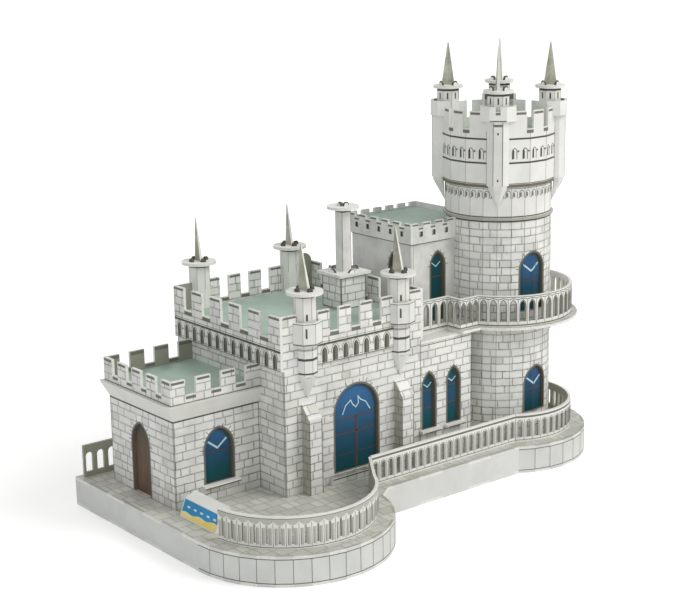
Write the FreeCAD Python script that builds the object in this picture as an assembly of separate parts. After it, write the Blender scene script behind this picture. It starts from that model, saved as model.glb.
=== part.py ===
"""A card castle, cut and folded from printed sheets.

Every dimension is in millimetres. The layout is measured from the front left foot of the
main block, on top of the deck: X runs to the right along the front, Y runs to the back and
Z runs up. The finished pieces are then moved so that the origin lies under the middle of
the castle, on the plinth's lower face.
"""
import FreeCAD, Part
import math
import os

V = FreeCAD.Vector

# Card
card = 1.5
fit_gap = 0.1

# Plinth and deck
plinth_height = 15.0
plinth_left = -63.5
plinth_back = 95.7
plinth_front = -21.8
bulge_x = -12.0
bulge_y = -17.0
bulge_radius = 51.5
bulge_end_angle = 347.7
bulge_facets = 18
nook_x = 47.0
round_x = 164.5
round_y = 16.0
round_radius = 45.5
round_end_angle = 422.0
round_facets = 16
chamfer_x = 115.0
wall_tab = 18.0
wall_tab_pitch = 34.0

# Main block
main_width = 88.6
main_depth = 92.7
main_roof_foot = 76.0
overlay_foot = 64.4
crenel_foot = 80.0
merlon_top = 91.4
front_merlon_count = 4
front_merlon_width = 7.7
side_merlon_count = 6
side_merlon_width = 9.3
gable_rise = 5.0

# Main window, its step and the buttresses
main_window_x = 45.2
main_window_width = 27.6
main_window_foot = 5.0
main_window_apex = 49.1
step_height = 4.0
step_depth = 2.5
step_margin = 4.0
buttress_width = 8.0
buttress_depth = 6.0
buttress_front_top = 39.0
buttress_back_top = 46.0

# Turrets on the main block
turret_inset = 14.4
turret_radius = 5.6
turret_foot = 60.2
turret_corbel_apex = 48.0
collar_radius = 8.3
collar_foot = 76.3
collar_top = 87.7
turret_top = 100.9
disc_radius = 9.1
spire_height = 22.5
spire_width = 7.0
spire_fold = 1.0
spire_tip = 0.5
spire_lean = 2.0
front_spire_turn = 95.0
back_spire_turn = 80.0
tab_width = 2.6
tab_rise = 1.7

# Chimney
chimney_x = main_width - 25.0
chimney_y = 34.0
chimney_width = 16.6
chimney_depth = 15.6
chimney_height = 17.7
chimney_cap_overhang = 2.0
chimney_shaft = 5.8
chimney_shaft_height = 33.0
chimney_disc_radius = 8.4

# Annex
annex_width = 50.4
annex_front = 21.1
annex_back = 79.1
annex_wall_top = 44.9
cornice_out = 3.6
cornice_rise = 8.0
annex_parapet_out = 1.6
annex_crenel = 57.0
annex_merlon_top = 65.0
annex_front_merlon_count = 4
annex_front_merlon_width = 8.4
annex_side_merlon_count = 5
annex_side_merlon_width = 8.0
annex_window_x = -24.5
annex_window_width = 16.0
annex_window_foot = 9.0
annex_window_spring = 26.0
annex_window_apex = 36.3
annex_door_y = 51.4
annex_door_width = 15.0
annex_door_spring = 26.0
annex_door_apex = 36.5
sill_depth = 3.0
sill_overhang = 2.5

# Gallery with the two lancet windows
gallery_right = main_width + 35.4
gallery_top = 63.0
lancet_width = 8.4
lancet_foot = 15.0
lancet_spring = 37.5
lancet_apex = 45.3
lancet_margin = 0.2
lancet_pitch = 17.4

# Tall block
tall_left = main_width + 14.4
tall_right = tall_left + 46.2
tall_front = 23.4
tall_back = 72.6
tall_top = 115.5
tall_overlay_foot = tall_top - 6.7
tall_crenel = tall_top + 2.1
tall_merlon_top = tall_top + 4.3
tall_side_merlon_count = 6
tall_side_merlon_width = 5.4
tall_front_merlon_count = 4
tall_front_merlon_width = 5.2
loop_width = 2.4
loop_height = 2.8
loop_foot = tall_top - 3.1
tall_window_x = tall_left + 18.6
tall_window_width = 9.2
tall_window_spring = 94.5
tall_window_apex = 102.0
tall_side_window_y = 37.6
tall_side_window_width = 7.0

# Tower
tower_x = tall_left + 59.2
tower_y = 19.2
tower_radius = 28.9
tower_facets = 24
ring_foot = 119.8
ring_overhang = 1.0
drum_foot = 137.6
drum_radius = 30.4
drum_facets = 16
drum_roof = 163.1
drum_crenel = 168.1
drum_merlon_top = 177.4
drum_crenel_width = 4.2
drum_crenel_angle = 34.0
tower_window_width = 15.4
lower_window_foot = 12.6
lower_window_spring = 28.0
lower_window_apex = 37.7
lower_window_turn = 3.5
upper_window_foot = 70.0
upper_window_spring = 92.5
upper_window_apex = 101.2
upper_window_turn = -3.3
pane_overlap = 1.2

# Turrets on the tower
pilaster_foot = 138.9
pilaster_width = 11.6
pilaster_depth = 5.8
pilaster_face = 5.0
pilaster_corbel_apex = 126.0
pilaster_corbel_width = 9.8
pilaster_corbel_setback = 0.4
tower_collar_foot = 172.8
tower_collar_top = 180.5
tower_collar_width = 18.8
tower_collar_face = 9.0
tower_shaft_radius = 6.2
tower_shaft_offset = 27.2
tower_shaft_top = 187.0
tower_disc_radius = 7.9

# Balcony
balcony_x = 164.0
balcony_y = 19.0
balcony_radius = 42.5
balcony_left = 97.0
balcony_setback = 9.2
balcony_corner_x = 115.5
balcony_front = -3.2
balcony_rail_inset = 3.0
balcony_rail_height = 16.5
balcony_end_angle = 424.0
bracket_angle = -33.0
bracket_height = 11.5
bracket_reach = 11.0
bracket_knee_reach = 5.1
bracket_knee_drop = 5.6

# Balustrades on the deck
rail_height = 15.5
rail_inset = 8.0
front_rail_y = -15.0
front_rail_start = 42.0
bulge_rail_start_angle = 186.0
bulge_rail_end_angle = 333.0
bulge_bay = 5.8
bulge_slot = 1.1
front_bay = 5.1
front_slot = 2.5
round_bay = 4.9
round_slot = 2.4
rail_foot_band = 2.6
rail_head_band = 4.0
balcony_bay = 5.2
balcony_slot = 3.0
back_rail_height = 17.0
back_rail_bay = 6.3
back_rail_slot = 4.2

# Name plate, a folded wedge on the deck
plate_x = -52.5
plate_front = -15.0
plate_back = 15.0
plate_lean = 3.5
plate_height = 8.5
plate_depth = 9.6
plate_back_height = 10.5


def polar(x, y, radius, degrees):
    """Point at a radius and an angle around a centre."""
    a = math.radians(degrees)
    return (x + radius * math.cos(a), y + radius * math.sin(a))


def arc_points(x, y, radius, start, end, count):
    """Corner points of a folded arc with the given number of facets."""
    return [polar(x, y, radius, start + (end - start) * i / count) for i in range(count + 1)]


def regular(x, y, radius, count, first=0.0):
    """Corners of a regular polygon, anticlockwise."""
    return [polar(x, y, radius, first + 360.0 * i / count) for i in range(count)]


def rectangle(x0, y0, x1, y1):
    """Corners of a rectangle, anticlockwise."""
    return [(x0, y0), (x1, y0), (x1, y1), (x0, y1)]


def inset(points, distance, closed):
    """Mitred copy of an anticlockwise outline, moved to its inner side."""
    out = []
    last = len(points) - 1
    for i, (x, y) in enumerate(points):
        normals = []
        if closed or i > 0:
            normals.append(left_normal(points[i - 1], points[i]))
        if closed or i < last:
            normals.append(left_normal(points[i], points[(i + 1) % len(points)]))
        sx = sum(n[0] for n in normals)
        sy = sum(n[1] for n in normals)
        scale = distance * len(normals) / (sx * sx + sy * sy)
        out.append((x + sx * scale, y + sy * scale))
    return out


def left_normal(a, b):
    """Unit normal to the left of the direction from a to b."""
    length = math.hypot(b[0] - a[0], b[1] - a[1])
    return (-(b[1] - a[1]) / length, (b[0] - a[0]) / length)


def prism(points, z0, z1):
    """Upright prism over an outline."""
    wire = Part.makePolygon([V(x, y, z0) for x, y in points + points[:1]])
    return Part.Face(wire).extrude(V(0, 0, z1 - z0))


def strip(points, z0, z1):
    """Folded strip of card along an open outline, with the card on its inner side."""
    return prism(points + inset(points, card, False)[::-1], z0, z1)


def ring(points, z0, z1):
    """Folded strip of card around a closed outline."""
    return prism(points, z0, z1).cut(prism(inset(points, card, True), z0, z1))


def box(x0, y0, z0, x1, y1, z1):
    """Block between two corners."""
    return Part.makeBox(x1 - x0, y1 - y0, z1 - z0, V(x0, y0, z0))


def side_prism(outline, y0, y1):
    """Prism over an upright (x, z) outline, running from y0 to y1."""
    wire = Part.makePolygon([V(x, y0, z) for x, z in outline + outline[:1]])
    return Part.Face(wire).extrude(V(0, y1 - y0, 0))


def arch(width, foot, spring, apex, y0, y1, x=0.0):
    """Prism of a round or pointed arch, standing in the XZ plane."""
    half = width / 2
    rise = max(apex - spring, half)
    centre = (rise * rise - half * half) / width
    radius = half + centre
    turn = math.atan2(rise, centre) / 2
    bow_x = radius * math.cos(turn) - centre
    bow_z = spring + radius * math.sin(turn)
    left = V(x - half, y0, spring)
    right = V(x + half, y0, spring)
    top = V(x, y0, spring + rise)
    edges = [
        Part.makeLine(V(x - half, y0, foot), V(x + half, y0, foot)),
        Part.makeLine(V(x + half, y0, foot), right),
        Part.Arc(right, V(x + bow_x, y0, bow_z), top).toShape(),
        Part.Arc(top, V(x - bow_x, y0, bow_z), left).toShape(),
        Part.makeLine(left, V(x - half, y0, foot)),
    ]
    return Part.Face(Part.Wire(edges)).extrude(V(0, y1 - y0, 0))


def on_wall(shape, x, y, degrees):
    """Turns a piece made for the front wall to another wall and moves it there.

    The angle is the wall's outward direction: -90 faces the front, 180 the left end.
    """
    placed = shape.copy()
    placed.rotate(V(0, 0, 0), V(0, 0, 1), degrees + 90.0)
    placed.translate(V(x, y, 0))
    return placed


def joined(shapes):
    """One solid from pieces that touch or overlap."""
    return shapes[0].multiFuse(shapes[1:]).removeSplitter()


def cut_all(shape, cutters):
    """Shape less every cutter."""
    return shape.cut(Part.makeCompound(cutters)) if cutters else shape


def pyramid(points, z, apex):
    """Closed point over or under an outline at height z."""
    base = [V(x, y, z) for x, y in points]
    tip = V(*apex)
    faces = [Part.Face(Part.makePolygon(base + base[:1]))]
    for a, b in zip(base, base[1:] + base[:1]):
        faces.append(Part.Face(Part.makePolygon([a, b, tip, a])))
    solid = Part.Solid(Part.Shell(faces))
    return solid if solid.Volume > 0 else solid.reversed()


def merlon_gaps(length, count, width):
    """Start and width of each gap between evenly spaced merlons."""
    gap = (length - count * width) / (count - 1)
    return [((i + 1) * width + i * gap, gap) for i in range(count - 1)]


def gap_boxes(length, count, width, z0, z1):
    """Blocks that cut the crenels from a front wall that starts at x = 0."""
    return [box(s, -3 * card, z0, s + g, 3 * card, z1) for s, g in merlon_gaps(length, count, width)]


def parapet_plate(length, foot, crenel, top, count, width):
    """Flat crenellated card that is laid on the outside of a wall."""
    plate = box(0, -card, foot, length, 0, top)
    return cut_all(plate, gap_boxes(length, count, width, crenel, top))


def bays(points, bay):
    """Splits each run of a path into equal bays and returns the whole path's points."""
    out = [points[0]]
    for a, b in zip(points, points[1:]):
        count = max(1, round(math.dist(a, b) / bay))
        for i in range(1, count + 1):
            t = i / count
            out.append((a[0] + (b[0] - a[0]) * t, a[1] + (b[1] - a[1]) * t))
    return out


def balustrade(points, z0, height, slot, pointed):
    """Folded railing with one arched opening in each bay."""
    rail = strip(points, z0, z0 + height)
    spring = z0 + height - rail_head_band - slot / 2
    apex = spring + slot * pointed
    cutters = []
    for a, b in zip(points, points[1:]):
        hole = arch(slot, z0 + rail_foot_band, spring, apex, -3 * card, 3 * card)
        nx, ny = left_normal(a, b)
        outward = math.degrees(math.atan2(-ny, -nx))
        cutters.append(on_wall(hole, (a[0] + b[0]) / 2, (a[1] + b[1]) / 2, outward))
    return cut_all(rail, cutters)


def plinth_sides():
    """Outline of the plinth, side by side, anticlockwise from the left wall's foot."""
    bulge = arc_points(bulge_x, bulge_y, bulge_radius, 180.0, bulge_end_angle, bulge_facets)
    bulge[0] = (plinth_left, bulge_y)
    start = 180.0 - math.degrees(math.asin((plinth_front - round_y) / round_radius))
    rounded = arc_points(round_x, round_y, round_radius, start, round_end_angle, round_facets)
    return {
        "bulge": bulge,
        "front": [bulge[-1], (nook_x, plinth_front), rounded[0]],
        "round": rounded,
        "back": [rounded[-1], (chamfer_x, plinth_back), (plinth_left, plinth_back), bulge[0]],
    }


def wall_tabs(a, b, inner_a, inner_b, whole):
    """Plan outlines of the tabs on one facet of the plinth wall."""
    if whole:
        return [[a, b, inner_b, inner_a]]
    length = math.dist(a, b)
    nx, ny = left_normal(a, b)
    ux, uy = ny, -nx
    count = int((length - wall_tab) // wall_tab_pitch)
    first = (length - count * wall_tab_pitch) / 2
    tabs = []
    for i in range(count + 1):
        s = first + i * wall_tab_pitch - wall_tab / 2
        p = (a[0] + ux * s, a[1] + uy * s)
        q = (p[0] + ux * wall_tab, p[1] + uy * wall_tab)
        tabs.append([p, q, (q[0] + nx * card, q[1] + ny * card), (p[0] + nx * card, p[1] + ny * card)])
    return tabs


def plinth():
    """Base, deck and finger-jointed side walls."""
    sides = plinth_sides()
    outline = []
    for run in sides.values():
        outline += run[:-1]
    inner = inset(outline, card, True)
    low = -plinth_height
    pieces = {}
    foot_tabs = []
    deck_tabs = []
    index = 0
    for name, run in sides.items():
        count = len(run) - 1
        inner_run = [inner[(index + i) % len(inner)] for i in range(count + 1)]
        wall = [prism(run + inner_run[::-1], low + card, -card)]
        for i in range(count):
            curved = name in ("bulge", "round")
            for tab in wall_tabs(run[i], run[i + 1], inner_run[i], inner_run[i + 1], curved):
                if not curved or i % 2 == 0:
                    foot_tabs.append(tab)
                    wall.append(prism(tab, low, low + card))
                if not curved or i % 2 == 1:
                    deck_tabs.append(tab)
                    wall.append(prism(tab, -card, 0))
        pieces["plinth_%s_wall" % name] = joined(wall)
        index += count
    pieces["plinth_base"] = cut_all(prism(outline, low, low + card),
                                    [prism(t, low, low + card) for t in foot_tabs])
    pieces["deck"] = cut_all(prism(outline, -card, 0), [prism(t, -card, 0) for t in deck_tabs])
    return pieces


def main_block():
    """Walls, roof, parapets, window, step and buttresses of the main block."""
    walls = ring(rectangle(0, 0, main_width, main_depth), 0, main_roof_foot)
    post = turret_inset + turret_radius
    posts = []
    for x0, x1 in ((0, post), (main_width - post, main_width)):
        for y0, y1 in ((0, card), (main_depth - card, main_depth)):
            posts.append(box(x0, y0, main_roof_foot - card, x1, y1, merlon_top))
    gable_width = turret_inset - turret_radius
    gable = arch(gable_width, merlon_top - card, merlon_top, merlon_top + gable_rise,
                 main_depth - card, main_depth, main_width - gable_width / 2)
    spring = main_window_apex - main_window_width / 2
    window = arch(main_window_width, main_window_foot, spring, main_window_apex,
                  -card, 2 * card, main_window_x)
    walls = joined([walls] + posts + [gable]).cut(window)

    back_card = rectangle(0, card, main_width, main_depth - card)
    roof = prism(back_card, main_roof_foot, main_roof_foot + card)

    run = main_width - 2 * post
    front = parapet_plate(run, overlay_foot, crenel_foot, merlon_top, front_merlon_count, front_merlon_width)
    side = parapet_plate(main_depth, overlay_foot, crenel_foot, merlon_top,
                         side_merlon_count, side_merlon_width)
    pane = box(main_window_x - main_window_width / 2 - pane_overlap, card,
               main_window_foot - pane_overlap,
               main_window_x + main_window_width / 2 + pane_overlap, 2 * card,
               main_window_apex + pane_overlap)
    step = box(main_window_x - main_window_width / 2 - step_margin, -step_depth, 0,
               main_window_x + main_window_width / 2 + step_margin, 0, step_height)
    pieces = {
        "main_walls": walls,
        "main_roof": roof,
        "main_parapet_front": on_wall(front, post, 0, -90),
        "main_parapet_back": on_wall(front, main_width - post, main_depth, 90),
        "main_parapet_left": on_wall(side, 0, main_depth, 180),
        "main_parapet_right": on_wall(side, main_width, 0, 0),
        "main_window": pane,
        "main_step": step,
        "buttresses": Part.makeCompound([buttress(turret_inset), buttress(main_width - turret_inset)]),
    }
    return pieces


def buttress(x):
    """Folded hollow buttress with a sloping head, open towards the wall and the deck."""
    half = buttress_width / 2
    outer = side_profile(0.0)
    inner = side_profile(card)
    shell = turn_to_depth(outer, -half, half)
    core = turn_to_depth(inner, -half + card, half - card)
    piece = shell.cut(core)
    piece.translate(V(x, 0, 0))
    return piece


def side_profile(t):
    """Side view of a buttress as (depth, height) points, thinner by t."""
    slope = (buttress_back_top - buttress_front_top) / buttress_depth
    drop = t * math.hypot(1.0, slope)
    front = buttress_depth - t
    back_top = buttress_back_top - drop
    return [(0, 0), (front, 0), (front, back_top - slope * front), (0, back_top)]


def turn_to_depth(profile, x0, x1):
    """Prism over a (depth, height) outline, running along X."""
    wire = Part.makePolygon([V(x0, -d, z) for d, z in profile + profile[:1]])
    return Part.Face(wire).extrude(V(x1 - x0, 0, 0))


def tabs_on_top(radius, z, first):
    """Four rounded tabs that stand up through a disc, a quarter turn apart."""
    tab = arch(tab_width, z - card, z + card + tab_rise - tab_width / 2, z + card + tab_rise,
               -card / 2, card / 2)
    return [on_wall(tab, *polar(0, 0, radius, a), a) for a in quarters(first)]


def quarters(first):
    """Four angles a quarter turn apart."""
    return [first + 90.0 * i for i in range(4)]


def tab_ring(radius):
    """Distance from the axis of an octagonal tube to the middle of its card."""
    return radius * math.cos(math.pi / 8) - card / 2


def turret_disc(size, radius, z, first):
    """Round cap card of the given size, with a slot for each tab."""
    disc = Part.makeCylinder(size, card, V(0, 0, z))
    half = tab_width / 2 + fit_gap
    thick = card / 2 + fit_gap
    slot = box(-half, -thick, z, half, thick, z + card)
    return cut_all(disc, [on_wall(slot, *polar(0, 0, radius, a), a) for a in quarters(first)])


def spire(z, turn, lean):
    """Slim folded triangle that stands on a disc."""
    def section(scale, height, shift):
        half = spire_width / 2 * scale
        fold = spire_fold * scale
        thick = max(card / 2 * scale, spire_tip / 2)
        front = [(-half, thick), (0, thick - fold), (half, thick)]
        back = [(x, y - 2 * thick) for x, y in front[::-1]]
        return Part.makePolygon([V(x + shift, y, height) for x, y in front + back + front[:1]])
    tip = spire_tip / spire_width
    body = Part.makeLoft([section(1.0, z, 0), section(tip, z + spire_height, lean)], True, True)
    body.rotate(V(0, 0, 0), V(0, 0, 1), turn)
    return body


def main_turret():
    """Octagonal turret that is slotted over the front wall, with the wall's mid-plane at y = 0."""
    tube = ring(regular(0, 0, turret_radius, 8), main_roof_foot + card, turret_top)
    half = regular(0, 0, turret_radius, 8, 180.0)[:5]
    low = strip(half, turret_foot, main_roof_foot + card)
    wide = strip(regular(0, 0, collar_radius, 8, 180.0)[:5], collar_foot, collar_top)
    shelf = prism(regular(0, 0, collar_radius, 8, 180.0)[:5], collar_foot, collar_foot + card)
    bore = inset(regular(0, 0, turret_radius, 8), card, True)
    shelf = shelf.cut(prism(bore, collar_foot, collar_top))
    corbel = pyramid(half, turret_foot, (0, -card / 2 - 0.3, turret_corbel_apex))
    shaft = joined([tube, low, wide, shelf, corbel] + tabs_on_top(tab_ring(turret_radius), turret_top, 0))
    wall_slot = box(-disc_radius, -card / 2, turret_corbel_apex, disc_radius, card / 2, merlon_top)
    return shaft.cut(wall_slot)


def main_turrets(parapets):
    """The four turrets, their discs and their spires."""
    shaft = main_turret()
    disc = turret_disc(disc_radius, tab_ring(turret_radius), turret_top, 0)
    places = {
        "front_left": (turret_inset, card / 2, -90, front_spire_turn),
        "front_right": (main_width - turret_inset, card / 2, -90, front_spire_turn),
        "back_left": (turret_inset, main_depth - card / 2, 90, back_spire_turn),
        "back_right": (main_width - turret_inset, main_depth - card / 2, 90, back_spire_turn),
    }
    pieces = {}
    discs = []
    spires = []
    for name, (x, y, outward, turn) in places.items():
        pieces["turret_%s" % name] = cut_all(on_wall(shaft, x, y, outward), parapets)
        discs.append(on_wall(disc, x, y, -90))
        point = spire(turret_top + card, turn, spire_lean)
        point.translate(V(x, y, 0))
        spires.append(point)
    pieces["turret_discs"] = Part.makeCompound(discs)
    pieces["turret_spires"] = Part.makeCompound(spires)
    return pieces


def chimney():
    """Square base, cap card, slim shaft and round head of the chimney."""
    x1 = chimney_x + chimney_width
    y1 = chimney_y + chimney_depth
    foot = main_roof_foot + card
    cap = foot + chimney_height
    shaft_foot = cap + card
    head = shaft_foot + chimney_shaft_height
    mx = (chimney_x + x1) / 2
    my = (chimney_y + y1) / 2
    half = chimney_shaft / 2
    over = chimney_cap_overhang
    tab_top = cap + card + tab_rise
    base_tab = arch(2 * tab_width, cap - card, tab_top - tab_width, tab_top, -card, 0)
    base = ring(rectangle(chimney_x, chimney_y, x1, y1), foot, cap)
    edge_tabs = [on_wall(base_tab, chimney_x, my, 180), on_wall(base_tab, mx, chimney_y, -90)]
    edge_tabs += [on_wall(base_tab, x1, my, 0), on_wall(base_tab, mx, y1, 90)]
    base = joined([base] + [inward(t, mx, my) for t in edge_tabs])
    cap_card = box(chimney_x - over, chimney_y - over, cap, x1 + over, y1 + over, shaft_foot)
    cap_card = cap_card.cut(base)
    shaft = ring(rectangle(mx - half, my - half, mx + half, my + half), shaft_foot, head)
    ring_radius = half - card / 2
    shaft_tabs = [t.translated(V(mx, my, 0)) for t in tabs_on_top(ring_radius, head, 0)]
    shaft = joined([shaft] + shaft_tabs)
    top = Part.makeCylinder(chimney_disc_radius, card, V(mx, my, head)).cut(shaft)
    return {"chimney_base": base, "chimney_cap": cap_card, "chimney_shaft": shaft, "chimney_head": top}


def inward(tab, mx, my):
    """Moves a wall tab by one card thickness towards the middle, onto the wall."""
    centre = tab.CenterOfMass
    reach = math.hypot(mx - centre.x, my - centre.y)
    step = V(mx - centre.x, my - centre.y, 0) * (card / reach)
    return tab.translated(V(step.x, step.y, 0))


def annex():
    """Walls, cornice, parapet, roof, window and door of the annex."""
    left = -annex_width
    run = [(0, annex_back), (left, annex_back), (left, annex_front), (0, annex_front)]
    walls = strip(run, 0, annex_wall_top)
    window = arch(annex_window_width, annex_window_foot, annex_window_spring, annex_window_apex,
                  -card, 2 * card, annex_window_x)
    door = arch(annex_door_width, 0, annex_door_spring, annex_door_apex, -card, 2 * card)
    walls = walls.cut(on_wall(window, 0, annex_front, -90))
    walls = walls.cut(on_wall(door, left, annex_door_y, 180))

    low = annex_wall_top
    high = low + cornice_rise
    wide = inset(run, -cornice_out, False)
    wide[0] = (0, annex_back + cornice_out)
    wide[-1] = (0, annex_front - cornice_out)
    outer = Part.makeLoft([closed_wire(run, low), closed_wire(wide, high)], True, True)
    run_in = rectangle(left + card, annex_front + card, 1.0, annex_back - card)
    wide_in = rectangle(left + card - cornice_out, annex_front + card - cornice_out, 1.0,
                        annex_back - card + cornice_out)
    hollow = Part.makeLoft([closed_wire(run_in, low), closed_wire(wide_in, high)], True, True)
    lip = cornice_out - card
    cover = box(left - lip, annex_front - lip, high - card, 0, annex_back + lip, high)
    cornice = joined([outer.cut(hollow), cover])

    out = annex_parapet_out
    roof = box(left - out + card, annex_front - out + card, high, 0, annex_back + out - card, high + card)
    path = [(0, annex_back + out), (left - out, annex_back + out),
            (left - out, annex_front - out), (0, annex_front - out)]
    parapet = strip(path, high, annex_merlon_top)
    width = annex_width + out
    depth = annex_back - annex_front + 2 * out
    front_gaps = gap_boxes(width, annex_front_merlon_count, annex_front_merlon_width,
                           annex_crenel, annex_merlon_top)
    side_gaps = gap_boxes(depth, annex_side_merlon_count, annex_side_merlon_width,
                          annex_crenel, annex_merlon_top)
    cutters = [on_wall(g, left - out, annex_front - out, -90) for g in front_gaps]
    cutters += [on_wall(g, 0, annex_back + out, 90) for g in front_gaps]
    cutters += [on_wall(g, left - out, annex_back + out, 180) for g in side_gaps]
    parapet = cut_all(parapet, cutters)

    pane = pane_card(annex_window_width, annex_window_foot, annex_window_apex)
    leaf = pane_card(annex_door_width, pane_overlap, annex_door_apex)
    return {
        "annex_walls": walls,
        "annex_cornice": cornice,
        "annex_roof": roof,
        "annex_parapet": parapet,
        "annex_window": on_wall(pane, annex_window_x, annex_front, -90),
        "annex_door": on_wall(leaf, left, annex_door_y, 180),
    }


def closed_wire(points, z):
    """Closed polygon at one height."""
    return Part.makePolygon([V(x, y, z) for x, y in points + points[:1]])


def pane_card(width, foot, apex):
    """Printed card that closes an opening from inside the wall."""
    half = width / 2 + pane_overlap
    return box(-half, card, foot - pane_overlap, half, 2 * card, apex + pane_overlap)


def sill(width, foot):
    """Narrow ledge below a window."""
    half = width / 2 + sill_overhang
    return box(-half, -sill_depth, foot - card, half, 0, foot)


def lancet_places():
    """Middle of each lancet window along the gallery's front."""
    first = main_width + pane_overlap + lancet_margin + lancet_width / 2
    return [first, first + lancet_pitch]


def gallery():
    """Low block with two lancet windows, under the terrace."""
    run = [(main_width, 0), (gallery_right, 0), (gallery_right, tall_front)]
    walls = strip(run, 0, gallery_top - card)
    openings = []
    panes = []
    for x in lancet_places():
        openings.append(arch(lancet_width, lancet_foot, lancet_spring, lancet_apex, -card, 2 * card, x))
        panes.append(on_wall(pane_card(lancet_width, lancet_foot, lancet_apex), x, 0, -90))
    roof = box(main_width, 0, gallery_top - card, gallery_right, tall_front, gallery_top)
    link = box(main_width, tall_front, gallery_top - card, tall_left, tall_back, gallery_top)
    flap = box(main_width, tall_back - card, 0, tall_left, tall_back, gallery_top)
    sills = [on_wall(sill(lancet_width, lancet_foot), x, 0, -90) for x in lancet_places()]
    sills.append(on_wall(sill(annex_window_width, annex_window_foot), annex_window_x, annex_front, -90))
    return {
        "gallery_walls": cut_all(walls, openings),
        "gallery_roof": joined([roof, link, flap]),
        "gallery_windows": Part.makeCompound(panes),
        "window_sills": Part.makeCompound(sills),
    }


def tower_prism(z0, z1, wider=0.0):
    """Everything inside the tower's outer face between two heights."""
    return prism(regular(tower_x, tower_y, tower_radius + wider, tower_facets), z0, z1)


def tall_block():
    """Tall block beside the tower, with its parapet, roof and panes."""
    run = [(tall_right, tower_y), (tall_right, tall_back), (tall_left, tall_back),
           (tall_left, tall_front), (tower_x, tall_front)]
    walls = strip(run, 0, tall_top)
    window = arch(tall_window_width, gallery_top + card, tall_window_spring, tall_window_apex,
                  -card, 2 * card, tall_window_x)
    side = arch(tall_side_window_width, main_roof_foot + 2 * card, tall_window_spring,
                tall_window_apex, -card, 2 * card)
    tower = tower_prism(0, tall_merlon_top)
    walls = walls.cut(on_wall(window, 0, tall_front, -90))
    walls = walls.cut(on_wall(side, tall_left, tall_side_window_y, 180)).cut(tower)

    path = [(tall_right + card, tower_y), (tall_right + card, tall_back + card),
            (tall_left - card, tall_back + card), (tall_left - card, tall_front - card),
            (tower_x, tall_front - card)]
    parapet = strip(path, tall_overlay_foot, tall_merlon_top)
    depth = tall_back - tall_front + 2 * card
    width = tower_x - math.sqrt(tower_radius ** 2 - (tall_front - tower_y) ** 2) - tall_left
    back_width = tall_right - tall_left + 2 * card
    side_gaps = gap_boxes(depth, tall_side_merlon_count, tall_side_merlon_width, tall_crenel, tall_merlon_top)
    front_gaps = gap_boxes(width + card, tall_front_merlon_count, tall_front_merlon_width,
                           tall_crenel, tall_merlon_top)
    back_gaps = gap_boxes(back_width, tall_side_merlon_count, tall_side_merlon_width,
                          tall_crenel, tall_merlon_top)
    cutters = [on_wall(g, tall_left - card, tall_back + card, 180) for g in side_gaps]
    cutters += [on_wall(g, tall_left - card, tall_front - card, -90) for g in front_gaps]
    cutters += [on_wall(g, tall_right + card, tall_back + card, 90) for g in back_gaps]
    cutters += [on_wall(g, tall_left - card, tall_back + card, 180)
                for g in loops(depth, tall_side_merlon_count, tall_side_merlon_width)]
    cutters += [on_wall(g, tall_left - card, tall_front - card, -90)
                for g in loops(width + card, tall_front_merlon_count, tall_front_merlon_width)]
    rim = tower_prism(ring_foot, ring_foot + card, ring_overhang)
    parapet = cut_all(parapet, cutters + [tower, rim])
    parapet = max(parapet.Solids, key=lambda s: s.Volume)

    inside = rectangle(tall_left, tall_front, tall_right, tall_back)
    roof = prism(inside, tall_top, tall_top + card).cut(tower)
    roof = max(roof.Solids, key=lambda s: s.Volume)
    front_pane = pane_card(tall_window_width, gallery_top + card, tall_window_apex)
    side_pane = pane_card(tall_side_window_width, main_roof_foot + 2 * card, tall_window_apex)
    panes = [on_wall(front_pane, tall_window_x, tall_front, -90),
             on_wall(side_pane, tall_left, tall_side_window_y, 180)]
    return {
        "tall_block_walls": max(walls.Solids, key=lambda s: s.Volume),
        "tall_block_parapet": parapet,
        "tall_block_roof": roof,
        "tall_block_windows": Part.makeCompound(panes),
    }


def loops(length, count, width):
    """Small square openings, one under each gap between merlons."""
    return [box(s + g / 2 - loop_width / 2, -card, loop_foot, s + g / 2 + loop_width / 2,
                2 * card, loop_foot + loop_height) for s, g in merlon_gaps(length, count, width)]


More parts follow.
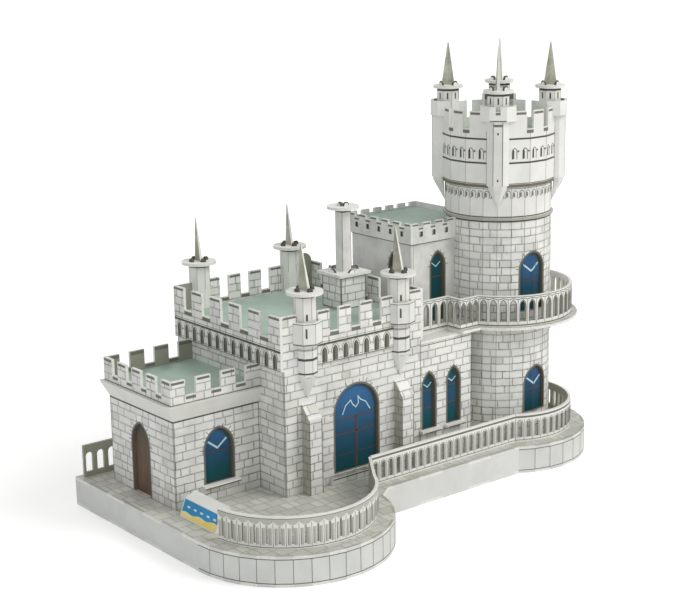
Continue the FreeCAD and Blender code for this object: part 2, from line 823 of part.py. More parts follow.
def tower():
    """Round tower of folded card: wall, ring, frieze band, drum, roof and panes."""
    shell = regular(tower_x, tower_y, tower_radius, tower_facets)
    wall = ring(shell, 0, ring_foot)
    lower = arch(tower_window_width, lower_window_foot, lower_window_spring, lower_window_apex,
                 -tower_radius - card, -tower_radius / 2)
    upper = arch(tower_window_width, upper_window_foot, upper_window_spring, upper_window_apex,
                 -tower_radius - card, -tower_radius / 2)
    wall = cut_all(wall, [on_wall(lower, tower_x, tower_y, lower_window_turn - 90),
                          on_wall(upper, tower_x, tower_y, upper_window_turn - 90)])

    band_foot = ring_foot + card
    rim = tower_prism(ring_foot, band_foot, ring_overhang)
    band = ring(shell, band_foot, drum_foot)
    first = 180.0 / drum_facets
    drum_shape = regular(tower_x, tower_y, drum_radius, drum_facets, first)
    floor = prism(drum_shape, drum_foot, drum_foot + card)
    drum = ring(drum_shape, drum_foot + card, drum_merlon_top)
    half = drum_crenel_width / 2
    notch = box(-half, -drum_radius - card, drum_crenel, half, -drum_radius / 2, drum_merlon_top)
    notches = []
    for corner in range(4):
        for side in (drum_crenel_angle, 90.0 - drum_crenel_angle):
            notches.append(on_wall(notch, tower_x, tower_y, 45.0 + 90.0 * corner + side))
    drum = cut_all(drum, notches)
    roof = prism(inset(drum_shape, card, True), drum_roof - card, drum_roof)
    return {
        "tower_wall": wall,
        "tower_ring": rim,
        "tower_band": band,
        "drum_floor": floor,
        "drum": drum,
        "drum_roof": roof,
        "tower_windows": Part.makeCompound([
            curved_pane(lower_window_foot, lower_window_apex, lower_window_turn),
            curved_pane(upper_window_foot, upper_window_apex, upper_window_turn)]),
    }


def curved_pane(foot, apex, turn):
    """Pane that follows the inside of the tower wall behind a window."""
    outer = inset(regular(tower_x, tower_y, tower_radius, tower_facets), card, True)
    inner = inset(regular(tower_x, tower_y, tower_radius, tower_facets), 2 * card, True)
    low = foot - pane_overlap
    high = apex + pane_overlap
    tube = prism(outer, low, high).cut(prism(inner, low, high))
    half = tower_window_width / 2 + pane_overlap
    window = box(-half, -tower_radius, low, half, 0, high)
    return tube.common(on_wall(window, tower_x, tower_y, turn - 90))


def half_octagon(width, face, depth, back):
    """Plan of a three-faced bay that stands out from a wall at y = 0."""
    w = width / 2
    f = face / 2
    side = depth - (w - f)
    side = max(side, depth * 0.4)
    return [(-w, back), (-w, -side), (-f, -depth), (f, -depth), (w, -side), (w, back)]


def tower_turret():
    """Pilaster, corbel, collar and shaft of one tower turret, with the drum's face at y = 0."""
    plan = half_octagon(pilaster_width, pilaster_face, pilaster_depth, 0)
    pilaster = strip(plan, pilaster_foot, tower_collar_foot + card)
    slim = half_octagon(pilaster_corbel_width, pilaster_face * pilaster_corbel_width / pilaster_width,
                        pilaster_depth - pilaster_corbel_setback, 0)
    step = drum_apothem() - tower_radius - fit_gap / 2
    corbel = joined([prism(slim, drum_foot, pilaster_foot),
                     pyramid(slim, drum_foot, (0, step, pilaster_corbel_apex))])
    wide = half_octagon(tower_collar_width, tower_collar_face, pilaster_depth + card / 2, 3 * card)
    collar = strip(wide, tower_collar_foot, tower_collar_top)
    shelf = prism(wide, tower_collar_foot, tower_collar_foot + card)
    notch = box(-1.2, -2 * pilaster_depth, tower_collar_top - 2.5, 1.2, 0, tower_collar_top)
    axis = drum_apothem() - tower_shaft_offset
    octagon = regular(0, axis, tower_shaft_radius, 8, 22.5)
    shaft = ring(octagon, drum_roof, tower_shaft_top)
    shelf = shelf.cut(prism(inset(octagon, card, True), tower_collar_foot, tower_collar_top))
    front_cut = box(-20, -20, drum_roof, 20, 0, tower_collar_foot)
    shaft = shaft.cut(front_cut)
    tabs = tabs_on_top(tab_ring(tower_shaft_radius), tower_shaft_top, 45)
    tabs = [t.translated(V(0, axis, 0)) for t in tabs]
    return joined([pilaster, corbel, collar.cut(notch), shelf, shaft] + tabs)


def drum_apothem():
    """Distance from the tower's axis to the middle of a drum facet."""
    return drum_radius * math.cos(math.pi / drum_facets)


def tower_turrets(drum):
    """The four turrets of the tower, their discs and their spires."""
    piece = tower_turret()
    pieces = {}
    discs = []
    spires = []
    disc = turret_disc(tower_disc_radius, tab_ring(tower_shaft_radius), tower_shaft_top, 45)
    for name, angle in (("front", -135), ("right", -45), ("back", 45), ("left", 135)):
        x, y = polar(tower_x, tower_y, drum_apothem(), angle)
        pieces["tower_turret_%s" % name] = on_wall(piece, x, y, angle).cut(drum)
        x, y = polar(tower_x, tower_y, tower_shaft_offset, angle)
        discs.append(on_wall(disc, x, y, angle))
        point = spire(tower_shaft_top + card, angle, 0.0)
        point.translate(V(x, y, 0))
        spires.append(point)
    pieces["tower_turret_discs"] = Part.makeCompound(discs)
    pieces["tower_turret_spires"] = Part.makeCompound(spires)
    return pieces


def balcony():
    """Slab around the tower, its railing and its bracket."""
    z = gallery_top
    disc = Part.makeCylinder(balcony_radius, card, V(balcony_x, balcony_y, z))
    terrace = box(balcony_left, balcony_setback, z, balcony_x, tall_front, z + card)
    landing = box(balcony_corner_x, balcony_front, z, balcony_x, tall_front, z + card)
    tall = box(tall_left, tall_front, z, tall_right, tall_back, z + card)
    slab = joined([disc, terrace, landing]).cut(tall).cut(tower_prism(z, z + card))
    slab = max(slab.Solids, key=lambda s: s.Volume)

    inset_edge = balcony_rail_inset
    radius = balcony_radius - inset_edge
    y = balcony_front + inset_edge
    start = 180.0 - math.degrees(math.asin((y - balcony_y) / radius))
    count = round(math.radians(balcony_end_angle - start) * radius / balcony_bay)
    curve = arc_points(balcony_x, balcony_y, radius, start, balcony_end_angle, count)
    left = balcony_corner_x + card / 2
    straight = [(balcony_left + card, balcony_setback + card / 2), (left, balcony_setback + card / 2),
                (left, y), curve[0]]
    path = bays(straight, balcony_bay) + curve[1:]
    rail = balustrade(path, z + card, balcony_rail_height, balcony_slot, 1.0)

    low = z - bracket_height
    inner = tower_radius
    face = [(inner, z), (inner + bracket_reach, z), (inner + bracket_reach, z - card),
            (inner + bracket_knee_reach, z - bracket_knee_drop), (inner, low)]
    bracket = side_prism(face, -card / 2, card / 2)
    bracket.rotate(V(0, 0, 0), V(0, 0, 1), bracket_angle)
    bracket.translate(V(tower_x, tower_y, 0))
    bracket = bracket.cut(tower_prism(low, z))
    return {"balcony_slab": slab, "balcony_rail": rail, "balcony_bracket": bracket}


def deck_rails():
    """Balustrades along the bulge, the front, the round end and the back of the deck."""
    radius = bulge_radius - rail_inset
    span = math.radians(bulge_rail_end_angle - bulge_rail_start_angle) * radius
    curve = arc_points(bulge_x, bulge_y, radius, bulge_rail_start_angle, bulge_rail_end_angle,
                       round(span / bulge_bay))
    corner = (front_rail_start, front_rail_y)
    bulge = curve + bays([curve[-1], corner], bulge_bay)[1:]

    radius = round_radius - rail_inset
    start = 180.0 - math.degrees(math.asin((front_rail_y - round_y) / radius))
    span = math.radians(round_end_angle - start) * radius
    curve = arc_points(round_x, round_y, radius, start, round_end_angle, round(span / round_bay))
    gap = 2 * fit_gap
    straight = bays([(corner[0] + gap, corner[1]), (curve[0][0] - gap, curve[0][1])], front_bay)
    back_y = plinth_back - 2 * card
    back = bays([(-card, back_y), (plinth_left + 2 * card, back_y)], back_rail_bay)
    return {
        "rail_bulge": balustrade(bulge, 0, rail_height, bulge_slot, 0.5),
        "rail_front": balustrade(straight, 0, rail_height, front_slot, 0.5),
        "rail_round": balustrade(curve, 0, rail_height, round_slot, 0.5),
        "rail_back": balustrade(back, 0, back_rail_height, back_rail_slot, 0.5),
    }


def name_plate():
    """Blank folded wedge that stands on the deck in front of the annex."""
    top = plate_x + plate_lean
    rear = plate_x + plate_depth
    outer = [(plate_x, 0), (rear, 0), (rear, plate_back_height), (top, plate_height)]
    inner = inset(outer, card, True)
    shell = side_prism(outer, plate_front, plate_back)
    core = side_prism(inner, plate_front, plate_back)
    return {"name_plate": shell.cut(core)}


def castle():
    """Every named piece in the layout frame."""
    pieces = plinth()
    pieces.update(main_block())
    pieces.update(main_turrets([pieces["main_parapet_front"], pieces["main_parapet_back"]]))
    pieces.update(chimney())
    pieces.update(annex())
    pieces["annex_parapet"] = pieces["annex_parapet"].cut(pieces["main_parapet_left"])
    pieces.update(gallery())
    pieces.update(tall_block())
    pieces.update(tower())
    pieces.update(tower_turrets(pieces["drum"]))
    pieces.update(balcony())
    pieces.update(deck_rails())
    pieces.update(name_plate())
    return pieces


def main():
    """Writes one STEP file for each piece, with the origin under the castle's middle."""
    pieces = castle()
    middle = Part.makeCompound(list(pieces.values())).BoundBox.Center
    os.makedirs("parts", exist_ok=True)
    for name, shape in pieces.items():
        moved = shape.copy()
        moved.translate(V(-middle.x, -middle.y, plinth_height))
        moved.exportStep("parts/%s.step" % name)


main()
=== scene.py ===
"""Looks of a card castle: printed walls, windows and railings, a plain stage and the camera."""

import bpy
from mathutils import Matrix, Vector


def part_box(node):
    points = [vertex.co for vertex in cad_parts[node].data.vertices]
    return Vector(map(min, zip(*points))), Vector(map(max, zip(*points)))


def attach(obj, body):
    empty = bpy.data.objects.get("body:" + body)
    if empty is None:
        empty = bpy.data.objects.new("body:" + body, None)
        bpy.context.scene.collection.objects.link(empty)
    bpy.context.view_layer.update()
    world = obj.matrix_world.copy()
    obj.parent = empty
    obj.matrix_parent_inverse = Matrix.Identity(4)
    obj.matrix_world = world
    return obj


bl_info = {
    "name": "Card Castle",
    "version": (1, 0, 0),
    "blender": (4, 5, 0),
    "location": "3D View > Sidebar > Castle",
    "description": "Dresses the packed card castle with its prints and sets the stage",
    "category": "Object",
}

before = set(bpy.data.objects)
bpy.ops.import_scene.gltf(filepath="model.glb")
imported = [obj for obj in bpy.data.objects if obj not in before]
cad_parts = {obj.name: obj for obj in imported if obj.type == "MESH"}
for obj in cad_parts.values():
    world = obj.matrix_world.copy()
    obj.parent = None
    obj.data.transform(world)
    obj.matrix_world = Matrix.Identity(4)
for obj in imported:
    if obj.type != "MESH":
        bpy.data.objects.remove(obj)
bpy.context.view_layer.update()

import math

import bmesh
import bpy
from bpy.props import FloatProperty, FloatVectorProperty, PointerProperty
from mathutils import Matrix, Vector

MM = 0.001
FOOT = Vector((*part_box("main_walls")[0][:2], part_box("deck")[1].z))
UP = Vector((0, 0, 1))

# Measures of the castle in millimetres from the front left foot of its main block
CARD = 1.5
MAIN = (88.6, 92.7)
ANNEX = (-50.4, 21.1, 79.1)
GALLERY_RIGHT = 124.0
TALL = (103.0, 23.4, 149.2, 72.6)
TOWER = (162.2, 19.2)
TOWER_RADIUS = 28.9
TOWER_FACETS = 24
DRUM_RADIUS = 30.4
DRUM_FACETS = 16
TURRET_X = (14.4, 74.2)
TURRET_RADIUS, COLLAR_RADIUS = 5.6, 8.3
CORBEL_FOOT, CORBEL_TIP = 60.2, 48.0
PILASTER_DEPTH, PILASTER_HALF, PILASTER_FACE_HALF = 5.8, 5.8, 2.5
TOWER_SHAFT_OFFSET, TOWER_SHAFT_RADIUS = 27.2, 6.2
CHIMNEY = (63.6, 34.0, 80.2, 49.6)
RAIL_HEIGHT, BALCONY_RAIL_HEIGHT, BALCONY = 15.5, 16.5, 64.5

# Battlements as start, length, number of merlons and width of a merlon, then crenel and merlon heights
POST = 20.0
FRONT_ROW = (POST, MAIN[0] - 2 * POST, 4, 7.7)
SIDE_ROW = (0.0, MAIN[1], 6, 9.3)
MAIN_LEVELS, ANNEX_LEVELS = (80.0, 91.4), (57.0, 65.0)

# Openings as middle, width, foot, spring and apex
MAIN_WINDOW = (45.2, 27.6, 5.0, 35.3, 49.1)
ANNEX_WINDOW = (-24.5, 16.0, 9.0, 26.0, 36.3)
ANNEX_DOOR = (-51.4, 15.0, 0.2, 26.0, 36.5)
LANCETS = [(x, 8.4, 15.0, 37.5, 45.3) for x in (94.2, 111.6)]
TALL_FRONT_WINDOW = (121.6, 9.2, 64.6, 94.5, 102.0)
TALL_SIDE_WINDOW = (-37.6, 7.0, 78.9, 94.5, 102.0)
LOWER_TOWER_WINDOW = (0.0, 15.4, 12.6, 28.0, 37.7)
UPPER_TOWER_WINDOW = (0.0, 15.4, 70.0, 92.5, 101.2)


class CastleSizes(bpy.types.PropertyGroup):
    """Sizes of the printed pattern."""
    course: FloatProperty(name="Course height", description="Height of one printed course of stone",
                          default=4.1 * MM, unit="LENGTH")
    stone: FloatProperty(name="Stone length", description="Length of one printed stone",
                         default=11.5 * MM, unit="LENGTH")
    joint: FloatProperty(name="Joint width", description="Width of the printed lines between stones",
                         default=0.36 * MM, unit="LENGTH")
    slab: FloatProperty(name="Paving slab", description="Side of one printed paving slab",
                        default=7.2 * MM, unit="LENGTH")
    lift: FloatProperty(name="Ink lift", description="How far a printed shape stands off the card",
                        default=0.05 * MM, unit="LENGTH")


class CastleColours(bpy.types.PropertyGroup):
    """Colours of the printed card."""
    paper: FloatVectorProperty(name="Paper", description="Unprinted card", subtype="COLOR",
                               default=(0.80, 0.80, 0.765))
    stone: FloatVectorProperty(name="Stone", description="Printed stone", subtype="COLOR",
                               default=(0.73, 0.73, 0.70))
    joint: FloatVectorProperty(name="Joint", description="Lines between stones", subtype="COLOR",
                               default=(0.15, 0.145, 0.12))
    ink: FloatVectorProperty(name="Dark ink", description="String lines and outlines", subtype="COLOR",
                             default=(0.085, 0.085, 0.068))
    grey: FloatVectorProperty(name="Grey ink", description="Softer printed shadows", subtype="COLOR",
                              default=(0.17, 0.17, 0.14))
    green: FloatVectorProperty(name="Roof green", description="Printed roofs", subtype="COLOR",
                               default=(0.36, 0.47, 0.40))
    pane_top: FloatVectorProperty(name="Pane top", description="Upper part of a window", subtype="COLOR",
                                  default=(0.038, 0.135, 0.30))
    pane_foot: FloatVectorProperty(name="Pane foot", description="Lower part of a window", subtype="COLOR",
                                   default=(0.005, 0.060, 0.072))
    bar: FloatVectorProperty(name="Glazing bar", description="Bars across the windows", subtype="COLOR",
                             default=(0.10, 0.045, 0.045))
    door: FloatVectorProperty(name="Door", description="Printed door", subtype="COLOR",
                              default=(0.10, 0.058, 0.035))
    paving: FloatVectorProperty(name="Paving", description="Printed deck", subtype="COLOR",
                                default=(0.50, 0.50, 0.45))
    plinth: FloatVectorProperty(name="Plinth", description="Printed side of the plinth", subtype="COLOR",
                                default=(0.66, 0.67, 0.645))
    inside: FloatVectorProperty(name="Inner face", description="Inner faces of walls and rails",
                                subtype="COLOR", default=(0.31, 0.31, 0.25))
    sky_blue: FloatVectorProperty(name="Plate blue", description="Upper field of the plate",
                                  subtype="COLOR", default=(0.015, 0.30, 0.62))
    sand: FloatVectorProperty(name="Plate yellow", description="Lower field of the plate",
                              subtype="COLOR", default=(0.86, 0.66, 0.17))


def sizes():
    """Sizes that the user has set."""
    return bpy.context.scene.castle_sizes


def colours():
    """Colours that the user has set."""
    return bpy.context.scene.castle_colours


def node(tree, kind, inputs=None, **attributes):
    """Adds a shader node, sets its attributes, then links or sets its inputs."""
    made = tree.nodes.new("ShaderNode" + kind)
    for key, value in attributes.items():
        setattr(made, key, value)
    for key, value in (inputs or {}).items():
        if isinstance(value, bpy.types.NodeSocket):
            tree.links.new(value, made.inputs[key])
        else:
            made.inputs[key].default_value = value
    return made


def calc(tree, operation, a, b=0.0, c=0.0, clamp=False):
    """Output of a Math node."""
    return node(tree, "Math", {0: a, 1: b, 2: c}, operation=operation, use_clamp=clamp).outputs[0]


def blend(tree, factor, a, b, mode="MIX"):
    """Colour output of a Mix node."""
    made = node(tree, "Mix", {}, data_type="RGBA", blend_type=mode, clamp_factor=True)
    for key, value in (("Factor", factor), ("A", a), ("B", b)):
        sockets = [s for s in made.inputs if s.name == key and s.enabled]
        socket = sockets[0]
        if isinstance(value, bpy.types.NodeSocket):
            tree.links.new(value, socket)
        else:
            socket.default_value = value if key == "Factor" else (*value[:3], 1.0)
    return [s for s in made.outputs if s.enabled][0]


def ramp(tree, value, low, high, to_low=0.0, to_high=1.0):
    """Clamped straight ramp between two values."""
    return node(tree, "MapRange", {0: value, 1: low, 2: high, 3: to_low, 4: to_high}).outputs[0]


def noise(tree, vector, scale, detail=2.0, rough=0.5):
    """Noise value at a scale in waves per metre."""
    return node(tree, "TexNoise", {"Vector": vector, "Scale": scale, "Detail": detail,
                                   "Roughness": rough}).outputs["Fac"]


def new_group(name, inputs, outputs):
    """Empty node group with float or colour sockets, given as name and kind."""
    tree = bpy.data.node_groups.new(name, "ShaderNodeTree")
    for label, kind in inputs:
        tree.interface.new_socket(label, in_out="INPUT", socket_type="NodeSocket" + kind)
    for label, kind in outputs:
        tree.interface.new_socket(label, in_out="OUTPUT", socket_type="NodeSocket" + kind)
    return tree, tree.nodes.new("NodeGroupInput").outputs, tree.nodes.new("NodeGroupOutput").inputs


def place(tree, group, inputs=None):
    """Places a node group in a tree and returns its outputs."""
    made = tree.nodes.new("ShaderNodeGroup")
    made.node_tree = bpy.data.node_groups[group]
    for key, value in (inputs or {}).items():
        if isinstance(value, bpy.types.NodeSocket):
            tree.links.new(value, made.inputs[key])
        else:
            made.inputs[key].default_value = value
    return made.outputs


def make_wall_coordinates():
    """Distance along a flat wall and height, in metres, for walls that face X or Y."""
    tree, _, out = new_group("Wall Coordinates", [], [("Along", "Float"), ("Height", "Float")])
    place_at = node(tree, "SeparateXYZ", {0: node(tree, "TexCoord").outputs["Object"]}).outputs
    facing = node(tree, "SeparateXYZ", {0: node(tree, "NewGeometry").outputs["True Normal"]}).outputs
    side = calc(tree, "GREATER_THAN", calc(tree, "ABSOLUTE", facing[0]), calc(tree, "ABSOLUTE", facing[1]))
    step = calc(tree, "SUBTRACT", place_at[1], place_at[0])
    tree.links.new(calc(tree, "MULTIPLY_ADD", side, step, place_at[0]), out["Along"])
    tree.links.new(place_at[2], out["Height"])


def make_round_coordinates():
    """Distance around the tower and height, in metres."""
    tree, given, out = new_group("Round Coordinates", [("Centre X", "Float"), ("Centre Y", "Float"),
                                                       ("Radius", "Float")],
                                 [("Along", "Float"), ("Height", "Float")])
    place_at = node(tree, "SeparateXYZ", {0: node(tree, "TexCoord").outputs["Object"]}).outputs
    x = calc(tree, "SUBTRACT", place_at[0], given["Centre X"])
    y = calc(tree, "SUBTRACT", place_at[1], given["Centre Y"])
    turn = calc(tree, "ARCTAN2", x, y)
    tree.links.new(calc(tree, "MULTIPLY", turn, given["Radius"]), out["Along"])
    tree.links.new(place_at[2], out["Height"])


def make_stone_courses():
    """Running courses of printed stone: a joint mask, a tone for each stone and a soft edge shade."""
    tree, given, out = new_group("Stone Courses",
                                 [("Along", "Float"), ("Height", "Float"), ("Length", "Float"),
                                  ("Course", "Float"), ("Joint", "Float")],
                                 [("Joint Mask", "Float"), ("Tone", "Float"), ("Edge Shade", "Float")])
    flat = node(tree, "CombineXYZ", {0: given["Along"], 1: given["Height"]}).outputs[0]
    sway = calc(tree, "MULTIPLY", calc(tree, "SUBTRACT", noise(tree, flat, 260.0), 0.5), 0.0007)
    height = calc(tree, "ADD", given["Height"], sway)
    row = calc(tree, "FLOOR", calc(tree, "DIVIDE", height, given["Course"]))
    shift = node(tree, "TexWhiteNoise", {"W": row}, noise_dimensions="1D").outputs["Value"]
    shift = calc(tree, "MULTIPLY_ADD", shift, 0.35, calc(tree, "MULTIPLY", row, 0.5))
    along = calc(tree, "ADD", calc(tree, "DIVIDE", given["Along"], given["Length"]), shift)
    # some stones are half length: the column is split where its own number says so
    column = calc(tree, "FLOOR", along)
    key = node(tree, "CombineXYZ", {0: column, 1: row}).outputs[0]
    split = node(tree, "TexWhiteNoise", {"Vector": key}, noise_dimensions="2D").outputs["Value"]
    split = calc(tree, "GREATER_THAN", split, 0.62)
    part = calc(tree, "SUBTRACT", along, column)
    half = calc(tree, "MULTIPLY", calc(tree, "GREATER_THAN", part, 0.55), split)
    edge_a = calc(tree, "ABSOLUTE", calc(tree, "SUBTRACT", part, 0.55))
    edge_a = calc(tree, "MULTIPLY_ADD", calc(tree, "SUBTRACT", 1.0, split), 9.0, edge_a)
    edge_b = calc(tree, "MINIMUM", part, calc(tree, "SUBTRACT", 1.0, part))
    upright = calc(tree, "MULTIPLY", calc(tree, "MINIMUM", edge_a, edge_b), given["Length"])
    level = calc(tree, "FRACT", calc(tree, "DIVIDE", height, given["Course"]))
    level_gap = calc(tree, "MULTIPLY", calc(tree, "MINIMUM", level, calc(tree, "SUBTRACT", 1.0, level)),
                     given["Course"])
    gap = calc(tree, "MINIMUM", upright, level_gap)
    width = calc(tree, "MULTIPLY", given["Joint"],
                 ramp(tree, noise(tree, flat, 420.0, 3.0), 0.3, 0.7, 0.35, 0.75))
    mask = calc(tree, "SUBTRACT", 1.0,
                node(tree, "MapRange", {0: gap, 1: calc(tree, "MULTIPLY", width, 0.5),
                                        2: calc(tree, "MULTIPLY", width, 1.5)}).outputs[0])
    own = calc(tree, "MULTIPLY_ADD", half, 0.5, column)
    stone_key = node(tree, "CombineXYZ", {0: own, 1: row}).outputs[0]
    tone = node(tree, "TexWhiteNoise", {"Vector": stone_key}, noise_dimensions="2D").outputs["Value"]
    shade = calc(tree, "SUBTRACT", 1.0, ramp(tree, gap, 0.0, 0.0011))
    tree.links.new(mask, out["Joint Mask"])
    tree.links.new(tone, out["Tone"])
    tree.links.new(shade, out["Edge Shade"])


def make_card_grain():
    """Fine fibres, soft stains and a little relief that every card shares."""
    tree, given, out = new_group("Card Grain", [("Stain", "Float")],
                                 [("Shade", "Float"), ("Relief", "Float"), ("Gloss", "Float")])
    at = node(tree, "TexCoord").outputs["Object"]
    stretched = node(tree, "Mapping", {"Vector": at, "Scale": (1.0, 1.0, 0.4)}).outputs[0]
    fibre = noise(tree, stretched, 2600.0, 4.0, 0.65)
    stain = noise(tree, at, 85.0, 5.0, 0.6)
    cloud = noise(tree, at, 26.0, 3.0, 0.55)
    soft = calc(tree, "ADD", calc(tree, "MULTIPLY", calc(tree, "SUBTRACT", stain, 0.5), 0.6),
                calc(tree, "MULTIPLY", calc(tree, "SUBTRACT", cloud, 0.5), 0.5))
    fine = calc(tree, "MULTIPLY", calc(tree, "SUBTRACT", fibre, 0.5), 0.10)
    shade = calc(tree, "MULTIPLY_ADD", soft, given["Stain"], calc(tree, "ADD", fine, 1.0))
    tree.links.new(shade, out["Shade"])
    tree.links.new(fibre, out["Relief"])
    tree.links.new(ramp(tree, cloud, 0.3, 0.7, 0.46, 0.60), out["Gloss"])


def finish_card(tree, colour, grain, bump=0.05, specular=0.35):
    """Principled card surface from a colour socket and the grain's outputs."""
    shaded = blend(tree, 1.0, colour, node(tree, "CombineColor", {0: grain["Shade"], 1: grain["Shade"],
                                                                  2: grain["Shade"]}).outputs[0], "MULTIPLY")
    relief = node(tree, "Bump", {"Strength": bump, "Distance": 0.0002, "Height": grain["Relief"]})
    shader = node(tree, "BsdfPrincipled", {"Base Color": shaded, "Roughness": grain["Gloss"],
                                           "Specular IOR Level": specular, "Normal": relief.outputs[0]})
    result = node(tree, "OutputMaterial", {"Surface": shader.outputs[0]})
    result.is_active_output = True


def empty_material(name):
    """New material with an empty node tree."""
    material = bpy.data.materials.new(name)
    material.use_nodes = True
    material.node_tree.nodes.clear()
    return material, material.node_tree


def plain_card(name, colour, stain=0.12, bump=0.05, specular=0.35, warm=None, patch=60.0):
    """Card of one print colour, clouded, with an optional second tone in soft patches."""
    material, tree = empty_material(name)
    grain = place(tree, "Card Grain", {"Stain": stain})
    at = node(tree, "TexCoord").outputs["Object"]
    second = warm or tuple(0.93 * c for c in colour)
    spread = ramp(tree, noise(tree, at, patch, 4.0, 0.6), 0.42, 0.62)
    finish_card(tree, blend(tree, spread, tuple(colour), second), grain, bump, specular)
    return material


def stone_card(name, round_wall=False, stain=0.22, shadow=0.0, side_shade=0.0):
    """Card printed with courses of stone, with old grime in soft patches; it can take painted shade near the
    foot and a darker painted-shade tone over the whole face.
    """
    material, tree = empty_material(name)
    look, size = colours(), sizes()
    if round_wall:
        centre = FOOT + Vector((*TOWER, 0)) * MM
        at = place(tree, "Round Coordinates", {"Centre X": centre.x, "Centre Y": centre.y,
                                               "Radius": TOWER_RADIUS * MM})
    else:
        at = place(tree, "Wall Coordinates")
    above = calc(tree, "SUBTRACT", at["Height"], FOOT.z)
    courses = place(tree, "Stone Courses", {"Along": at["Along"], "Height": above,
                                            "Length": size.stone, "Course": size.course,
                                            "Joint": size.joint})
    grain = place(tree, "Card Grain", {"Stain": stain})
    pale = tuple(min(1.0, 1.12 * c) for c in look.stone)
    lilac = (look.stone[0] * 0.93, look.stone[1] * 0.92, look.stone[2] * 0.97)
    olive = (look.stone[0] * 0.83, look.stone[1] * 0.83, look.stone[2] * 0.76)
    tone = blend(tree, ramp(tree, courses["Tone"], 0.1, 0.75), tuple(look.stone), pale)
    tone = blend(tree, ramp(tree, courses["Tone"], 0.76, 0.90), tone, lilac)
    tone = blend(tree, ramp(tree, courses["Tone"], 0.92, 1.0), tone, olive)
    tone = blend(tree, calc(tree, "MULTIPLY", courses["Edge Shade"], 0.30), tone,
                 tuple(0.62 * c for c in look.stone))
    spot = node(tree, "TexCoord").outputs["Object"]
    grime = calc(tree, "MULTIPLY", ramp(tree, noise(tree, spot, 45.0, 5.0, 0.62), 0.50, 0.72), 0.55)
    tone = blend(tree, grime, tone, tuple(0.58 * c for c in look.stone))
    if shadow:
        low = calc(tree, "SUBTRACT", 1.0, ramp(tree, above, 0.0, 12 * MM))
        tone = blend(tree, calc(tree, "MULTIPLY", low, shadow), tone, tuple(0.5 * c for c in look.stone))
    # Painted shade: this darkens the whole print towards olive, for the sides of the buttresses.
    if side_shade:
        tone = blend(tree, side_shade, tone, (0.27, 0.26, 0.20))
    worn = ramp(tree, noise(tree, spot, 70.0, 3.0), 0.35, 0.60, 0.50, 0.92)
    tone = blend(tree, calc(tree, "MULTIPLY", courses["Joint Mask"], worn), tone, tuple(look.joint))
    finish_card(tree, tone, grain)
    return material


def paving_card(name):
    """Card printed with square paving slabs."""
    material, tree = empty_material(name)
    look, size = colours(), sizes()
    at = node(tree, "TexCoord").outputs["Object"]
    parts = node(tree, "SeparateXYZ", {0: at}).outputs
    courses = place(tree, "Stone Courses", {"Along": parts[0], "Height": parts[1], "Length": size.slab * 1.25,
                                            "Course": size.slab, "Joint": size.joint * 1.1})
    grain = place(tree, "Card Grain", {"Stain": 0.45})
    pale = tuple(1.22 * c for c in look.paving)
    tone = blend(tree, courses["Tone"], tuple(look.paving), pale)
    tone = blend(tree, calc(tree, "MULTIPLY", courses["Edge Shade"], 0.18), tone,
                 tuple(0.7 * c for c in look.paving))
    tone = blend(tree, calc(tree, "MULTIPLY", courses["Joint Mask"], 0.5), tone, tuple(look.joint))
    finish_card(tree, tone, grain)
    return material


def pane_card(name, low, high, foot, middle, head):
    """Window print with its own tones at the foot, in the middle and at the head."""
    material, tree = empty_material(name)
    at = node(tree, "TexCoord").outputs["Object"]
    height = node(tree, "SeparateXYZ", {0: at}).outputs[2]
    bands = noise(tree, node(tree, "Mapping", {"Vector": at, "Scale": (0.3, 0.3, 1.0)}).outputs[0], 130.0)
    level = calc(tree, "ADD", ramp(tree, height, FOOT.z + low * MM, FOOT.z + high * MM),
                 calc(tree, "MULTIPLY", calc(tree, "SUBTRACT", bands, 0.5), 0.30))
    tone = blend(tree, ramp(tree, level, 0.12, 0.50), foot, middle)
    tone = blend(tree, ramp(tree, level, 0.55, 0.90), tone, head)
    finish_card(tree, tone, place(tree, "Card Grain", {"Stain": 0.25}), 0.02, 0.2)
    return material


def door_card(name):
    """Door print: brown boards with fine grain, darker at the head."""
    material, tree = empty_material(name)
    look = colours()
    at = node(tree, "TexCoord").outputs["Object"]
    parts = node(tree, "SeparateXYZ", {0: at}).outputs
    boards = calc(tree, "PINGPONG", calc(tree, "MULTIPLY", parts[1], 1.0 / (3.4 * MM)), 0.5)
    seam = calc(tree, "SUBTRACT", 1.0, ramp(tree, boards, 0.0, 0.06))
    grain_lines = noise(tree, node(tree, "Mapping", {"Vector": at, "Scale": (1.0, 1.0, 0.05)}).outputs[0],
                        2200.0, 3.0)
    warm = tuple(1.6 * c for c in look.door)
    tone = blend(tree, ramp(tree, grain_lines, 0.35, 0.7), tuple(look.door), warm)
    tone = blend(tree, calc(tree, "MULTIPLY", seam, 0.6), tone, tuple(0.4 * c for c in look.door))
    head = ramp(tree, parts[2], FOOT.z + 20 * MM, FOOT.z + 36 * MM)
    tone = blend(tree, calc(tree, "MULTIPLY", head, 0.9), tone, (0.05, 0.055, 0.045))
    finish_card(tree, tone, place(tree, "Card Grain", {"Stain": 0.3}), 0.03, 0.4)
    return material


def edge_card(name, colour):
    """Cut edge of the card: pale core with faint layers."""
    material, tree = empty_material(name)
    at = node(tree, "TexCoord").outputs["Object"]
    layers = noise(tree, at, 900.0, 2.0, 0.7)
    tone = blend(tree, ramp(tree, layers, 0.35, 0.75), tuple(colour), tuple(0.84 * c for c in colour))
    finish_card(tree, tone, place(tree, "Card Grain", {"Stain": 0.15}), 0.12, 0.2)
    return material


